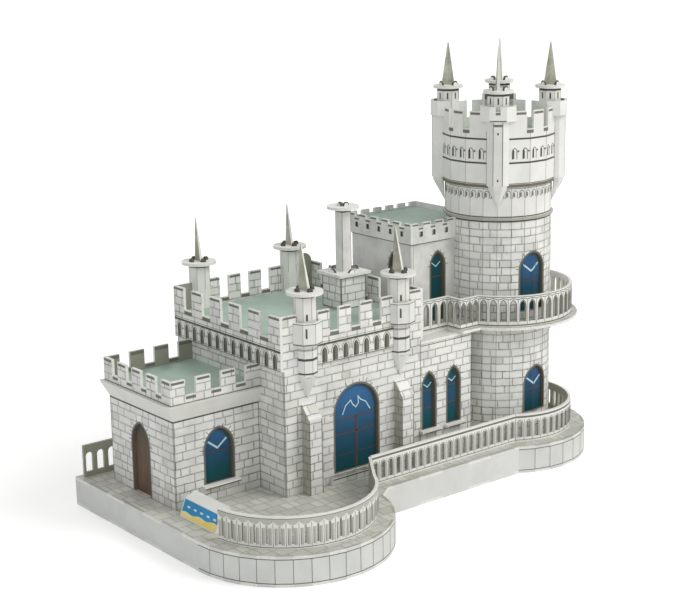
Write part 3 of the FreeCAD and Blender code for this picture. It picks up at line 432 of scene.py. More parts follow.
def make_materials():
    """Builds the shared groups and every card finish."""
    for build in (make_wall_coordinates, make_round_coordinates, make_stone_courses, make_card_grain):
        build()
    look = colours()
    stone_card("stone print", shadow=0.40)
    # A copy of the stone print darkened as painted shade, for the sides of the buttresses.
    stone_card("shaded side stone print", stain=0.30, side_shade=0.75)
    stone_card("round stone print", round_wall=True, stain=0.30)
    plain_card("plain print", look.stone, 0.30, warm=tuple(0.84 * c for c in look.stone), patch=90.0)
    plain_card("bright print", tuple(1.06 * c for c in look.stone), 0.20)
    plain_card("roof print", look.green, 0.30, specular=0.6, warm=tuple(1.12 * c for c in look.green))
    plain_card("white print", look.paper, 0.08)
    plain_card("plinth print", look.plinth, 0.14, warm=tuple(0.93 * c for c in look.plinth))
    plain_card("inner print", look.inside, 0.35)
    plain_card("dark ink", look.ink, 0.2, specular=0.25)
    plain_card("grey ink", look.grey, 0.2, specular=0.25)
    plain_card("grey print", (0.50, 0.50, 0.44), 0.3)
    plain_card("joint ink", look.joint, 0.2, specular=0.25)
    plain_card("spire print", (0.34, 0.34, 0.26), 0.25, warm=(0.50, 0.50, 0.41), patch=120.0)
    plain_card("bar ink", look.bar, 0.2)
    plain_card("pane highlight", (0.50, 0.68, 0.72), 0.1)
    plain_card("blue field", look.sky_blue, 0.2, specular=0.5, warm=tuple(0.8 * c for c in look.sky_blue))
    plain_card("yellow field", look.sand, 0.15, specular=0.5, warm=(0.86, 0.74, 0.33))
    paving_card("paving print")
    door_card("door print")
    head, foot = tuple(look.pane_top), tuple(look.pane_foot)
    teal = (foot[0] * 1.2, foot[1] * 1.2, foot[2] * 1.2)
    deep = tuple(0.5 * (a + b) for a, b in zip(head, foot))
    pane_card("main pane print", 5, 49, foot, tuple(0.80 * c for c in deep), head)
    pane_card("annex pane print", 9, 36, foot, tuple(0.75 * c for c in deep), tuple(0.85 * c for c in head))
    pane_card("lancet pane print", 15, 45, teal, tuple(0.75 * c for c in deep), teal)
    pane_card("tall pane print", 60, 104, foot, foot, teal)
    pane_card("tower pane print", 12, 38, foot, tuple(0.70 * c for c in deep), tuple(0.75 * c for c in head))
    pane_card("upper pane print", 70, 101, foot, tuple(0.75 * c for c in deep), tuple(0.80 * c for c in head))
    edge_card("cut edge", (0.80, 0.80, 0.75))
    # Dark cut edge: painted shade for the reveals of openings and the edges of the panes behind them.
    edge_card("dark edge", (0.17, 0.155, 0.12))
    edge_card("grey edge", (0.42, 0.42, 0.36))


def regions(mesh):
    """For each face the number of its flat region, and each region's normal, middle, width and top."""
    faces = mesh.polygons
    spots = {}
    corner = [spots.setdefault(tuple(round(c / 2e-6) for c in v.co), len(spots)) for v in mesh.vertices]
    owner = list(range(len(faces)))

    def root(i):
        while owner[i] != i:
            owner[i] = owner[owner[i]]
            i = owner[i]
        return i

    shared = {}
    for face in faces:
        ids = [corner[v] for v in face.vertices]
        for a, b in zip(ids, ids[1:] + ids[:1]):
            shared.setdefault((min(a, b), max(a, b)), []).append(face.index)
    for pair in shared.values():
        for other in pair[1:]:
            if faces[pair[0]].normal.dot(faces[other].normal) > 0.99995:
                owner[root(other)] = root(pair[0])
    area, rim, middle, top = {}, {}, {}, {}
    for face in faces:
        r = root(face.index)
        area[r] = area.get(r, 0.0) + face.area
        middle[r] = middle.get(r, Vector()) + face.center * face.area
        top[r] = max([top.get(r, -1.0)] + [mesh.vertices[v].co.z for v in face.vertices])
    where = {}
    for v, key in zip(mesh.vertices, corner):
        where[key] = v.co
    for (a, b), pair in shared.items():
        owners = [root(i) for i in pair]
        for r in set(owners):
            if owners.count(r) == 1:
                rim[r] = rim.get(r, 0.0) + (where[a] - where[b]).length
    info = {r: (faces[r].normal.copy(), middle[r] / max(area[r], 1e-12),
                2 * area[r] / max(rim.get(r, 1e-9), 1e-9), top[r]) for r in area}
    return [root(i) for i in range(len(faces))], info


def dress(name, choose, tabs=1000.0):
    """Gives each flat region of a CAD node the finish that choose(normal, middle, width) names.

    Regions that reach above the height tabs are ends of tabs, printed dark.
    """
    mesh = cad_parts[name].data
    owner, info = regions(mesh)
    slots = {}
    mesh.materials.clear()
    pick = {}
    for r, (normal, middle, width, top) in info.items():
        label = choose(normal, (middle - FOOT) / MM, width / MM)
        if (top - FOOT.z) / MM > tabs and (middle - FOOT).z / MM > tabs - 3.0:
            label = "dark ink"
        if label not in slots:
            slots[label] = len(slots)
            mesh.materials.append(bpy.data.materials[label])
        pick[r] = slots[label]
    for face, r in zip(mesh.polygons, owner):
        face.material_index = pick[r]
        face.use_smooth = False


def shell(outer, inner="inner print", edge="cut edge", centre=(0, 0), top=None, edge_rule=None, thin=1.62):
    """Chooser for a folded shell: outer print, inner print and cut edges."""
    def choose(normal, middle, width):
        if width < thin:
            return edge_rule(normal, middle) if edge_rule else edge
        if abs(normal.z) > 0.7:
            return top or edge
        outward = (middle.x - centre[0]) * normal.x + (middle.y - centre[1]) * normal.y
        return outer if outward > 0 else inner
    return choose


def flat(face, edge="cut edge", thin=1.62, under=None):
    """Chooser for a flat sheet that lies level or stands."""
    def choose(normal, middle, width):
        if width < thin:
            return edge
        if under and normal.z < -0.5:
            return under
        return face
    return choose


def dress_walls():
    """Walls of the blocks, the tower and the chimney."""
    main_mid = (MAIN[0] / 2, MAIN[1] / 2)
    dress("main_walls", shell("stone print", centre=main_mid, edge_rule=reveals(62)))
    # The dark cut edges of these walls paint the shade inside the reveals of their openings.
    dress("annex_walls", shell("stone print", centre=(0, 50), edge="dark edge"))
    dress("gallery_walls", shell("stone print", centre=(88.6, 23.4), edge="dark edge"))
    dress("tall_block_walls", shell("plain print", centre=(126, 48), edge="dark edge"))
    dress("tall_block_parapet", shell("plain print", "plain print", centre=(126, 48), edge_rule=loop_edges))
    dress("tower_wall", shell("round stone print", centre=TOWER, edge="dark edge"))
    dress("tower_band", shell("bright print", centre=TOWER))
    dress("drum", shell("bright print", "bright print", centre=TOWER))
    dress("chimney_base", shell("stone print", centre=(71.9, 41.8)), 96.8)
    dress("chimney_shaft", shell("plain print", centre=(71.9, 41.8)), 131.3)
    for side, centre in (("front", (45, 40)), ("back", (45, 50)), ("left", (45, 45)), ("right", (45, 45))):
        dress("main_parapet_%s" % side, shell("stone print", "stone print", centre=centre))
    dress("annex_parapet", shell("stone print", "inner print", centre=(0, 50)))
    dress("annex_cornice", shell("white print", centre=(0, 50)))
    dress("buttresses", buttress_face)


def reveals(height):
    """Chooser for cut edges: dark in the openings below a height as painted shade of the reveals, pale above
    it.
    """
    def choose(normal, middle):
        return "dark edge" if middle.z < height else "cut edge"
    return choose


def buttress_face(normal, middle, width):
    """Front and sloping faces of stone, darker sides: the sides take a darker copy of the stone print as
    painted shade.
    """
    if abs(normal.x) > 0.8:
        return "shaded side stone print"
    return "stone print" if normal.y < -0.2 else "cut edge"


def loop_edges(normal, middle):
    """Dark as painted shade inside the small loops under the crenels, pale elsewhere."""
    return "dark edge" if 111.5 < middle.z < 116.0 else "cut edge"


def dress_sheets():
    """Roofs, decks, discs, sills, spires, rails and panes."""
    for name in ("main_roof", "annex_roof", "tall_block_roof", "drum_roof"):
        dress(name, flat("roof print"))
    dress("deck", flat("paving print", "cut edge"))
    dress("plinth_base", flat("plinth print", "cut edge"))
    for name in ("bulge", "front", "round", "back"):
        dress("plinth_%s_wall" % name, shell("plinth print", "inner print", "grey edge", centre=(60, 20)))
    dress("plinth_bulge_wall", shell("plinth print", "inner print", "grey edge", centre=(-12, -17)))
    dress("plinth_round_wall", shell("plinth print", "inner print", "grey edge", centre=(164.5, 16)))
    dress("gallery_roof", flat("plain print", "cut edge"))
    dress("balcony_slab", flat("paving print", "cut edge", under="plain print"))
    dress("balcony_bracket", flat("grey ink", "grey edge"))
    for name, inner, centre, lip in (("balcony_rail", "bright print", (160, 40), 80),
                                     ("rail_bulge", "inner print", (-5, -5), 14.5),
                                     ("rail_front", "inner print", (90, 60), 14.5),
                                     ("rail_round", "inner print", (162, 22), 14.5)):
        dress(name, shell("white print", inner, centre=centre, edge_rule=rail_edges(lip), thin=1.4))
    dress("rail_back", shell("grey ink", "inner print", "grey edge", centre=(-30, 20)))
    for name in ("turret_discs", "tower_turret_discs", "chimney_head", "chimney_cap", "window_sills"):
        dress(name, flat("white print"))
    dress("tower_ring", flat("plain print", "grey edge"))
    dress("drum_floor", flat("grey ink", "dark edge"))
    dress("turret_spires", flat("spire print", "cut edge", 1.3))
    dress("tower_turret_spires", flat("spire print", "cut edge", 1.3))
    dress("main_step", flat("stone print"))
    dress("name_plate", flat("white print", "cut edge"))
    dress("main_window", flat("main pane print", "dark edge"))
    dress("annex_window", flat("annex pane print", "dark edge"))
    dress("annex_door", flat("door print", "dark edge"))
    dress("gallery_windows", flat("lancet pane print", "dark edge"))
    dress("tall_block_windows", flat("tall pane print", "dark edge"))
    dress("tower_windows",
          lambda normal, middle, width: "upper pane print" if middle.z > 60 else "tower pane print")


def rail_edges(height):
    """Chooser for a railing's cut edges: pale along the top, grey as painted shade inside the slots."""
    def choose(normal, middle):
        return "cut edge" if middle.z > height else "grey edge"
    return choose


def dress_turrets():
    """Shafts, collars and corbels of the eight turrets."""
    places = {"front_left": (TURRET_X[0], 0), "front_right": (TURRET_X[1], 0),
              "back_left": (TURRET_X[0], MAIN[1]), "back_right": (TURRET_X[1], MAIN[1])}
    for name, centre in places.items():
        dress("turret_%s" % name, shell("bright print", centre=centre), 102.6)
    for name, angle in (("front", -135), ("right", -45), ("back", 45), ("left", 135)):
        a = math.radians(angle)
        centre = (TOWER[0] + 25 * math.cos(a), TOWER[1] + 25 * math.sin(a))
        dress("tower_turret_%s" % name, shell("bright print", centre=centre), 188.6)


class Wall:
    """A flat face that prints are laid on: u runs to the right seen from outside, v is height."""

    def __init__(self, x, y, outward):
        a = math.radians(outward)
        self.origin = FOOT + Vector((x, y, 0)) * MM
        self.out = Vector((math.cos(a), math.sin(a), 0))
        self.right = Vector((-math.sin(a), math.cos(a), 0))
        self.rise = UP

    def depth(self, u):
        """How far the face stands out from the origin at u."""
        return 0.0

    def at(self, u, v, lift):
        """Point on the face, raised by the lift."""
        return self.origin + (self.right * u + self.rise * v + self.out * (self.depth(u) + lift)) * MM


class RoundWall(Wall):
    """The tower's folded wall seen along one direction: u runs sideways, v is height."""

    def __init__(self, direction, sink=0.0):
        super().__init__(*TOWER, direction)
        self.apothem = TOWER_RADIUS * math.cos(math.pi / TOWER_FACETS) - sink
        turns = [math.radians(360.0 * (i + 0.5) / TOWER_FACETS - direction) for i in range(TOWER_FACETS)]
        self.turns = [t for t in turns if math.cos(t) > 0.5]

    def depth(self, u):
        """Distance of the nearest facet from the tower's axis."""
        return min((self.apothem - u * math.sin(t)) / math.cos(t) for t in self.turns)


class Slope(Wall):
    """A sloping facet between two upper corners and a foot point; v = 0 is its upper edge."""

    def __init__(self, left, right, foot):
        a, b, tip = (Vector(p) for p in (left, right, foot))
        middle = (a + b) / 2
        self.right = (b - a).normalized()
        self.rise = (middle - tip).normalized()
        self.out = self.right.cross(self.rise)
        self.origin = FOOT + middle * MM
        self.length = (middle - tip).length
        self.half = (b - a).length / 2


class Print:
    """Thin printed shapes gathered into one mesh."""

    def __init__(self, name, material, slot, lift=1.0):
        self.name, self.material, self.slot = name, material, slot
        self.lift = lift * sizes().lift / MM
        self.points, self.faces = [], []

    def plate(self, wall, outline):
        """Filled outline, as a thin closed plate half sunk in the card."""
        n, first = len(outline), len(self.points)
        self.points += [wall.at(u, v, self.lift) for u, v in outline]
        self.points += [wall.at(u, v, -0.1) for u, v in outline]
        self.faces.append(tuple(range(first, first + n)))
        self.faces.append(tuple(range(first + 2 * n - 1, first + n - 1, -1)))
        for i in range(n):
            j = (i + 1) % n
            self.faces.append((first + i, first + n + i, first + n + j, first + j))

    def box(self, wall, u0, v0, u1, v1):
        """Rectangle between two corners."""
        self.plate(wall, [(u0, v0), (u1, v0), (u1, v1), (u0, v1)])

    def line(self, wall, path, width, closed=False):
        """Ribbon of constant width along a path."""
        if isinstance(wall, RoundWall):
            path = dense(path, 0.5)
        self.strip(wall, offset(path, width / 2, closed), offset(path, -width / 2, closed), closed)

    def strip(self, wall, left, right, closed=False):
        """Ribbon between two paths with as many points."""
        n, first = len(left), len(self.points)
        for side, lift in ((left, self.lift), (right, self.lift), (right, -0.1), (left, -0.1)):
            self.points += [wall.at(u, v, lift) for u, v in side]
        for i in range(n if closed else n - 1):
            j = (i + 1) % n
            for k in range(4):
                a, b = first + k * n, first + ((k + 1) % 4) * n
                self.faces.append((a + i, b + i, b + j, a + j))
        if not closed:
            self.faces.append(tuple(first + k * n for k in (3, 2, 1, 0)))
            self.faces.append(tuple(first + k * n + n - 1 for k in (0, 1, 2, 3)))

    def build(self):
        """Makes the object, which rides on the castle."""
        mesh = bpy.data.meshes.new(self.name)
        mesh.from_pydata(self.points, [], self.faces)
        mesh.materials.append(bpy.data.materials[self.material])
        mesh.validate()
        fix_normals(mesh)
        made = bpy.data.objects.new(self.name, mesh)
        bpy.context.scene.collection.objects.link(made)
        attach(made, "root")
        return made


def fix_normals(mesh):
    """Turns every face outward."""
    work = bmesh.new()
    work.from_mesh(mesh)
    bmesh.ops.recalc_face_normals(work, faces=work.faces)
    work.to_mesh(mesh)
    work.free()


def offset(path, distance, closed):
    """Mitred copy of a path, moved to its left."""
    out = []
    last = len(path) - 1
    for i, (x, y) in enumerate(path):
        normals = []
        for a, b, there in ((i - 1, i, closed or i > 0), (i, i + 1, closed or i < last)):
            if not there:
                continue
            (ax, ay), (bx, by) = path[a % len(path)], path[b % len(path)]
            size = math.hypot(bx - ax, by - ay) or 1e-9
            normals.append((-(by - ay) / size, (bx - ax) / size))
        sx, sy = sum(n[0] for n in normals), sum(n[1] for n in normals)
        scale = distance * len(normals) / max(sx * sx + sy * sy, 0.4)
        out.append((x + sx * scale, y + sy * scale))
    return out


def dense(path, step):
    """The same path with more points, none further apart than the step."""
    out = [path[0]]
    for a, b in zip(path, path[1:]):
        count = max(1, math.ceil(math.dist(a, b) / step))
        out += [(a[0] + (b[0] - a[0]) * i / count, a[1] + (b[1] - a[1]) * i / count)
                for i in range(1, count + 1)]
    return out


def arch(width, foot, spring, apex, x=0.0, steps=8):
    """Outline of a round or pointed arch, from its left foot over the top to its right foot."""
    half = width / 2
    rise = max(apex - spring, half)
    centre = (rise * rise - half * half) / width
    radius = half + centre
    turn = math.atan2(rise, centre)
    curve = []
    for i in range(steps + 1):
        t = turn * i / steps
        curve.append((radius * math.cos(t) - centre, spring + radius * math.sin(t)))
    left = [(x - u, v) for u, v in curve]
    right = [(x + u, v) for u, v in curve[:-1]][::-1]
    return [(x - half, foot)] + left + right + [(x + half, foot)]


def arch_rays(width, spring, apex, x, count, inner, outer):
    """Short lines that stand out around an arch's head, as pairs of points."""
    half = width / 2
    rise = max(apex - spring, half)
    centre = (rise * rise - half * half) / width
    radius = half + centre
    turn = math.atan2(rise, centre)
    rays = []
    for side in (-1, 1):
        for i in range(count):
            t = turn * (i + 0.15) / (count - 0.35)
            c, s = math.cos(t), math.sin(t)
            rays.append([(x + side * ((radius + r) * c - centre), spring + (radius + r) * s)
                         for r in (inner, outer[i % len(outer)])])
    return rays


def window_print(wall, opening, prints, stones, reach):
    """Dark band, outline and arch stones around a window."""
    x, width, foot, spring, apex = opening
    outline = arch(width, foot, spring, apex, x, 12)
    for ray in arch_rays(width, spring, apex, x, stones, 1.3, reach):
        prints["rays"].line(wall, ray, 0.36)
    prints["grey"].line(wall, offset(outline, 0.62, False), 1.2)
    prints["outline"].line(wall, offset(outline, 0.16, False), 0.32)


def pane_print(wall, opening, prints, transoms=(), mullion=None, vee=0.0, rim=0.7):
    """Dark rim widened at the head as painted shadow of the reveal, glazing bars and highlight on a pane."""
    x, width, foot, spring, apex = opening
    outline = arch(width, foot, spring, apex, x, 12)
    # The rim is a printed dark edge that grows to the given depth at the head, painting the reveal's shadow
    # on the pane.
    inner = arch(width - 1.5, foot + 0.01, spring, apex - rim, x, 12)
    if isinstance(wall, RoundWall):
        outline, inner = spread(outline), spread(inner)
    prints["rim"].strip(wall, outline, inner)
    half = width / 2
    for level in transoms:
        prints["bars"].line(wall, [(x - half, level), (x + half, level)], 0.6)
    if mullion:
        prints["bars"].line(wall, [(mullion, foot), (mullion, transoms[0])], 1.2)
    if vee:
        rise = width * 0.26
        path = [(x - width * 0.34, vee + rise), (x, vee), (x + width * 0.34, vee + rise)]
        prints["highlight"].line(wall, path, width * 0.06)


def corner_lines(prints, wall, a, b, foot, top):
    """Thin upright lines beside both ends of a wall."""
    for u in (a + 0.35, b - 0.35):
        prints["fine"].box(wall, u - 0.17, foot, u + 0.17, top)


def spread(outline):
    """Adds points to the straight sides of an arch's outline."""
    return dense(outline[:2], 4.0) + outline[2:-2] + dense(outline[-2:], 4.0)


def merlon_rows(start, length, count, width):
    """Start and end of each merlon, then of each gap, along a wall."""
    gap = (length - count * width) / (count - 1)
    merlons = [(start + i * (width + gap), start + i * (width + gap) + width) for i in range(count)]
    gaps = [(a[1], b[0]) for a, b in zip(merlons, merlons[1:])]
    return merlons, gaps


def crenel_print(prints, wall, row, levels, band=1.1, step=1.9):
    """Dark bands under each merlon's top and under each gap."""
    merlons, gaps = merlon_rows(*row)
    crenel, top = levels
    for a, b in merlons:
        prints["grey"].box(wall, a + 0.7, top - 0.5 - band, b - 0.5, top - 0.5)
    for a, b in gaps:
        prints["grey"].box(wall, a + 0.2, crenel - 0.5 - step, b - 0.2, crenel - 0.5)


def lancet_row(prints, wall, start, end, count, foot, apex, width):
    """Row of slim printed lancets."""
    pitch = (end - start) / count
    for i in range(count):
        x = start + pitch * (i + 0.5)
        spring = apex - width * 0.9
        prints["grey"].plate(wall, arch(width, foot, spring, apex, x, 5))
        shade = arch(width * 0.42, foot, spring + 0.2, apex - 0.6, x - width * 0.24, 4)
        prints["dark"].plate(wall, shade)
        hood = arch(width + 1.3, spring - 1.2, spring + 0.1, apex + 0.9, x, 5)
        prints["fine"].line(wall, hood, 0.28)
        prints["white"].line(wall, arch(width + 0.5, foot, spring, apex + 0.4, x, 5), 0.42)


def family(tag):
    """The prints that most walls need."""
    return {
        "rays": Print(tag + "_arch_stones", "joint ink", "wall_print", 1.2),
        "outline": Print(tag + "_outlines", "dark ink", "wall_print", 1.4),
        "grey": Print(tag + "_grey_print", "grey ink", "wall_print", 1.0),
        "dark": Print(tag + "_dark_print", "dark ink", "wall_print", 1.6),
        "fine": Print(tag + "_fine_lines", "joint ink", "wall_print", 1.3),
        "white": Print(tag + "_pale_print", "white print", "wall_print", 1.45),
        # Dark rims of the panes, with painted shadow from the reveals at their heads.
        "rim": Print(tag + "_pane_rims_and_shadow", "dark ink", "window_print", 1.2),
        "bars": Print(tag + "_glazing_bars", "bar ink", "window_print", 1.0),
        "highlight": Print(tag + "_pane_highlights", "pane highlight", "window_print", 1.4),
    }


def build_family(prints):
    """Builds each print that holds a shape."""
    for made in prints.values():
        if made.faces:
            made.build()


def facets(x, y, radius, count, first=0.0):
    """Walls on the facets of a regular prism, each with half its width; u = 0 is the middle."""
    out = []
    apothem = radius * math.cos(math.pi / count)
    half = radius * math.sin(math.pi / count)
    for i in range(count):
        angle = first + 360.0 * (i + 0.5) / count
        a = math.radians(angle)
        out.append((Wall(x + apothem * math.cos(a), y + apothem * math.sin(a), angle), half, angle % 360))
    return out


def path_walls(points):
    """Walls on the runs of an anticlockwise path, each with its half length."""
    out = []
    for a, b in zip(points, points[1:]):
        angle = math.degrees(math.atan2(-(b[0] - a[0]), b[1] - a[1]))
        out.append((Wall((a[0] + b[0]) / 2, (a[1] + b[1]) / 2, angle), math.dist(a, b) / 2))
    return out


def arc(x, y, radius, start, end, count):
    """Points along an arc."""
    return [(x + radius * math.cos(math.radians(start + (end - start) * i / count)),
             y + radius * math.sin(math.radians(start + (end - start) * i / count)))
            for i in range(count + 1)]


def print_main_block():
    """Bands, lancets, window, gable and battlements of the main block."""
    p = family("main")
    front, left = Wall(0, 0, -90), Wall(0, MAIN[1], 180)
    right, back = Wall(MAIN[0], 0, 0), Wall(MAIN[0], MAIN[1], 90)
    raised = ((Wall(0, -CARD, -90), FRONT_ROW, 7), (Wall(MAIN[0], MAIN[1] + CARD, 90), FRONT_ROW, 7),
              (Wall(-CARD, MAIN[1], 180), SIDE_ROW, 13), (Wall(MAIN[0] + CARD, 0, 0), SIDE_ROW, 13))
    for wall, row, lancets in raised:
        start, length = row[:2]
        crenel_print(p, wall, row, MAIN_LEVELS)
        p["dark"].box(wall, start, 73.9, start + length, 74.7)
        p["fine"].box(wall, start, 75.3, start + length, 75.5)
        p["fine"].box(wall, start, 64.45, start + length, 64.8)
        lancet_row(p, wall, start + 1.0, start + length - 1.0, lancets, 65.0, 72.8, 3.3)
    crenel_print(p, Wall(0, MAIN[1], -90), FRONT_ROW, MAIN_LEVELS, 1.1, 1.6)
    crenel_print(p, Wall(MAIN[0], MAIN[1], 180), SIDE_ROW, MAIN_LEVELS, 1.1, 1.6)
    for wall, length in ((front, MAIN[0]), (back, MAIN[0])):
        for a, b in ((0.0, 8.6), (length - 8.6, length)):
            p["grey"].box(wall, a + 0.5, 89.9, b - 0.5, 90.9)
    for wall, length in ((front, MAIN[0]), (left, MAIN[1]), (right, MAIN[1]), (back, MAIN[0])):
        corner_lines(p, wall, 0.0, length, 0.2, 64.2)
    window_print(front, MAIN_WINDOW, p, 6, (3.6, 2.6))
    inside = Wall(0, CARD, -90)
    # The 3.0 mm rim at the head of the main pane is painted shadow of the reveal.
    pane_print(inside, MAIN_WINDOW, p, (32.1, 24.4), 46.1, 0.0, 3.0)
    p["bars"].line(inside, [(32.2, 13.4), (58.2, 13.4)], 0.3)
    glint = [(37.2, 34.3), (39.2, 38.6), (42.6, 41.0), (43.8, 38.6), (45.9, 36.8), (47.6, 38.7), (47.4, 42.2),
             (49.2, 40.1), (52.4, 38.4), (55.2, 34.0)]
    p["highlight"].line(inside, glint, 0.55)
    p["dark"].box(Wall(0, -2.5, -90), 27.6, 2.7, 62.6, 3.3)
    build_family(p)


def print_annex():
    """Door, window, sill, cornice and battlements of the annex."""
    p = family("annex")
    left_x, front_y, back_y = ANNEX
    front, side = Wall(0, front_y, -90), Wall(left_x, 0, 180)
    back = Wall(0, back_y, 90)
    window_print(front, ANNEX_WINDOW, p, 4, (3.4, 2.6))
    pane_print(Wall(0, front_y + CARD, -90), ANNEX_WINDOW, p, (24.2,), None, 25.8, 1.2)
    window_print(side, ANNEX_DOOR, p, 4, (3.4, 2.6))
    # Dark line along the lower edge of the window sill: painted shade under the ledge.
    p["dark"].box(Wall(0, front_y - 3.0, -90), -34.9, 7.5, -14.1, 8.0)
    out = 1.6
    wide = (0.0, -left_x + out, 4, 8.4)
    deep = (0.0, back_y - front_y + 2 * out, 5, 8.0)
    for wall, row in ((Wall(left_x - out, front_y - out, -90), wide), (Wall(0, back_y + out, 90), wide),
                      (Wall(left_x - out, back_y + out, 180), deep)):
        crenel_print(p, wall, row, ANNEX_LEVELS, 1.2, 1.4)
        p["fine"].box(wall, 0.2, 53.1, row[1] - 0.2, 53.5)
    inner = Wall(left_x - out, back_y + 0.1, -90)
    merlons, gaps = merlon_rows(*wide)
    for a, b in merlons:
        p["grey"].box(inner, max(a, out + 0.2) + 0.3, 62.9, b - 0.3, 64.5)
    for a, b in gaps:
        p["grey"].box(inner, a + 0.2, 55.2, b - 0.2, 56.6)
    inner = Wall(left_x - 0.1, front_y - out, 0)
    for a, b in merlon_rows(*deep)[0]:
        p["grey"].box(inner, a + 1.9, 63.2, b - 1.9, 64.4)
    for wall, a, b in ((front, left_x, 0), (side, -back_y, -front_y), (back, 0, -left_x)):
        p["dark"].box(wall, a, 44.1, b, 44.8)
        corner_lines(p, wall, a, b, 0.2, 44.2)
    build_family(p)


def print_gallery():
    """The gallery's two lancets with their sills."""
    p = family("gallery")
    front, inside, sill = Wall(0, 0, -90), Wall(0, CARD, -90), Wall(0, -3.0, -90)
    for opening in LANCETS:
        x = opening[0]
        window_print(front, opening, p, 4, (2.8, 2.2))
        pane_print(inside, opening, p, (35.6, 26.0), None, 37.3, 1.2)
        # Dark line along the lower edge of the sill: painted shade under the ledge.
        p["dark"].box(sill, x - 6.2, 13.5, x + 6.2, 14.0)
    p["fine"].box(front, 89.0, 60.4, 123.8, 60.8)
    build_family(p)


def print_tall_block():
    """Windows, edges and battlements of the tall block."""
    p = family("tall")
    x0, y0, x1, y1 = TALL
    front, side = Wall(0, y0, -90), Wall(x0, 0, 180)
    window_print(front, TALL_FRONT_WINDOW, p, 4, (2.8, 2.2))
    pane_print(Wall(0, y0 + CARD, -90), TALL_FRONT_WINDOW, p, (88.5,), None, 94.0, 1.2)
    window_print(side, TALL_SIDE_WINDOW, p, 3, (2.6, 2.0))
    pane_print(Wall(x0 + CARD, 0, 180), TALL_SIDE_WINDOW, p)
    rows = ((Wall(x0 - CARD, y1 + CARD, 180), (0.0, y1 - y0 + 2 * CARD, 6, 5.4)),
            (Wall(x0 - CARD, y0 - CARD, -90), (0.0, 30.9, 4, 5.2)),
            (Wall(x1 + CARD, y1 + CARD, 90), (0.0, x1 - x0 + 2 * CARD, 6, 5.4)))
    for wall, row in rows:
        merlons, gaps = merlon_rows(*row)
        for a, b in gaps:
            p["grey"].box(wall, a + 0.1, 116.4, b - 0.1, 117.3)
        for a, b in merlons:
            p["grey"].box(wall, a + 0.2, 118.6, b - 0.2, 119.4)
        for u in (0.5, row[1] - 0.5):
            p["white"].box(wall, u - 0.35, 109.0, u + 0.35, 119.6)
    for wall, a, b in ((front, x0, 131), (side, -y1, -y0)):
        p["dark"].box(wall, a, 108.0, b, 108.7)
    p["white"].box(front, x0 + 0.1, 64.6, x0 + 0.9, 108.0)
    p["fine"].box(front, x0 + 1.0, 64.6, x0 + 1.25, 108.0)
    p["white"].box(side, -y0 - 0.9, 78, -y0 - 0.1, 108.0)
    build_family(p)


def print_tower():
    """Seams, windows, string lines and arcades of the tower and its drum."""
    p = family("tower")
    for wall, half, angle in facets(*TOWER, TOWER_RADIUS, TOWER_FACETS):
        p["outline"].box(wall, half - 0.16, 0.2, half, 119.6)
        p["fine"].box(wall, half - 0.14, 121.5, half, 137.4)
        p["dark"].box(wall, -half, 118.9, half, 119.7)
        p["dark"].box(wall, -half, 121.4, half, 121.9)
        p["fine"].box(wall, -half, 136.6, half, 136.8)
        for x in (-half / 2, half / 2):
            p["fine"].line(wall, arch(2.6, 131.6, 134.0, 135.6, x, 4), 0.3)
            p["grey"].plate(wall, arch(0.9, 132.2, 133.9, 134.7, x - 0.55, 3))
            p["fine"].box(wall, x - 1.9, 131.5, x - 1.2, 131.8)
    for direction, opening, transom, vee in ((-86.5, LOWER_TOWER_WINDOW, 25.0, 27.4),
                                             (-93.3, UPPER_TOWER_WINDOW, 86.0, 91.0)):
        window_print(RoundWall(direction), opening, p, 4, (2.9, 2.2))
        pane_print(RoundWall(direction, CARD), opening, p, (transom,), None, vee, 1.4)
    for wall, half, angle in facets(*TOWER, DRUM_RADIUS, DRUM_FACETS, 180.0 / DRUM_FACETS):
        for level in (150.5, 163.1):
            p["dark"].box(wall, -half, level - 0.45, half, level + 0.45)
        p["fine"].box(wall, -half, 139.3, half, 139.7)
        if round(angle) % 90 == 45:
            continue
        p["fine"].box(wall, half - 0.14, 139.7, half, 167.0)
        for i in range(2):
            x = -half + half * (i + 0.5)
            p["outline"].line(wall, arch(2.6, 152.4, 156.4, 158.2, x, 5), 0.34)
            p["dark"].plate(wall, arch(0.9, 152.6, 156.4, 157.6, x - 0.7, 4))
            p["grey"].plate(wall, [(x + 1.4, 156.6), (x + 2.1, 155.9), (x + 2.8, 156.6), (x + 2.1, 157.3)])
        drum_battlement(p, wall, half, angle)
    build_family(p)


def drum_battlement(p, wall, half, angle):
    """Bands on the part of the drum's battlement that one facet carries."""
    gap = 3.6
    if round(angle) % 90 == 0:
        spans, steps = [(-gap, gap)], [(-half, -gap - 0.2), (gap + 0.2, half)]
    elif angle % 90 < 45:
        spans, steps = [(-gap, half)], [(-half, -gap - 0.2)]
    else:
        spans, steps = [(-half, gap)], [(gap + 0.2, half)]
    for a, b in spans:
        p["grey"].box(wall, a + 0.3, 175.6, b - 0.3, 176.8)
    for a, b in steps:
        p["grey"].box(wall, a, 165.8, b, 167.6)


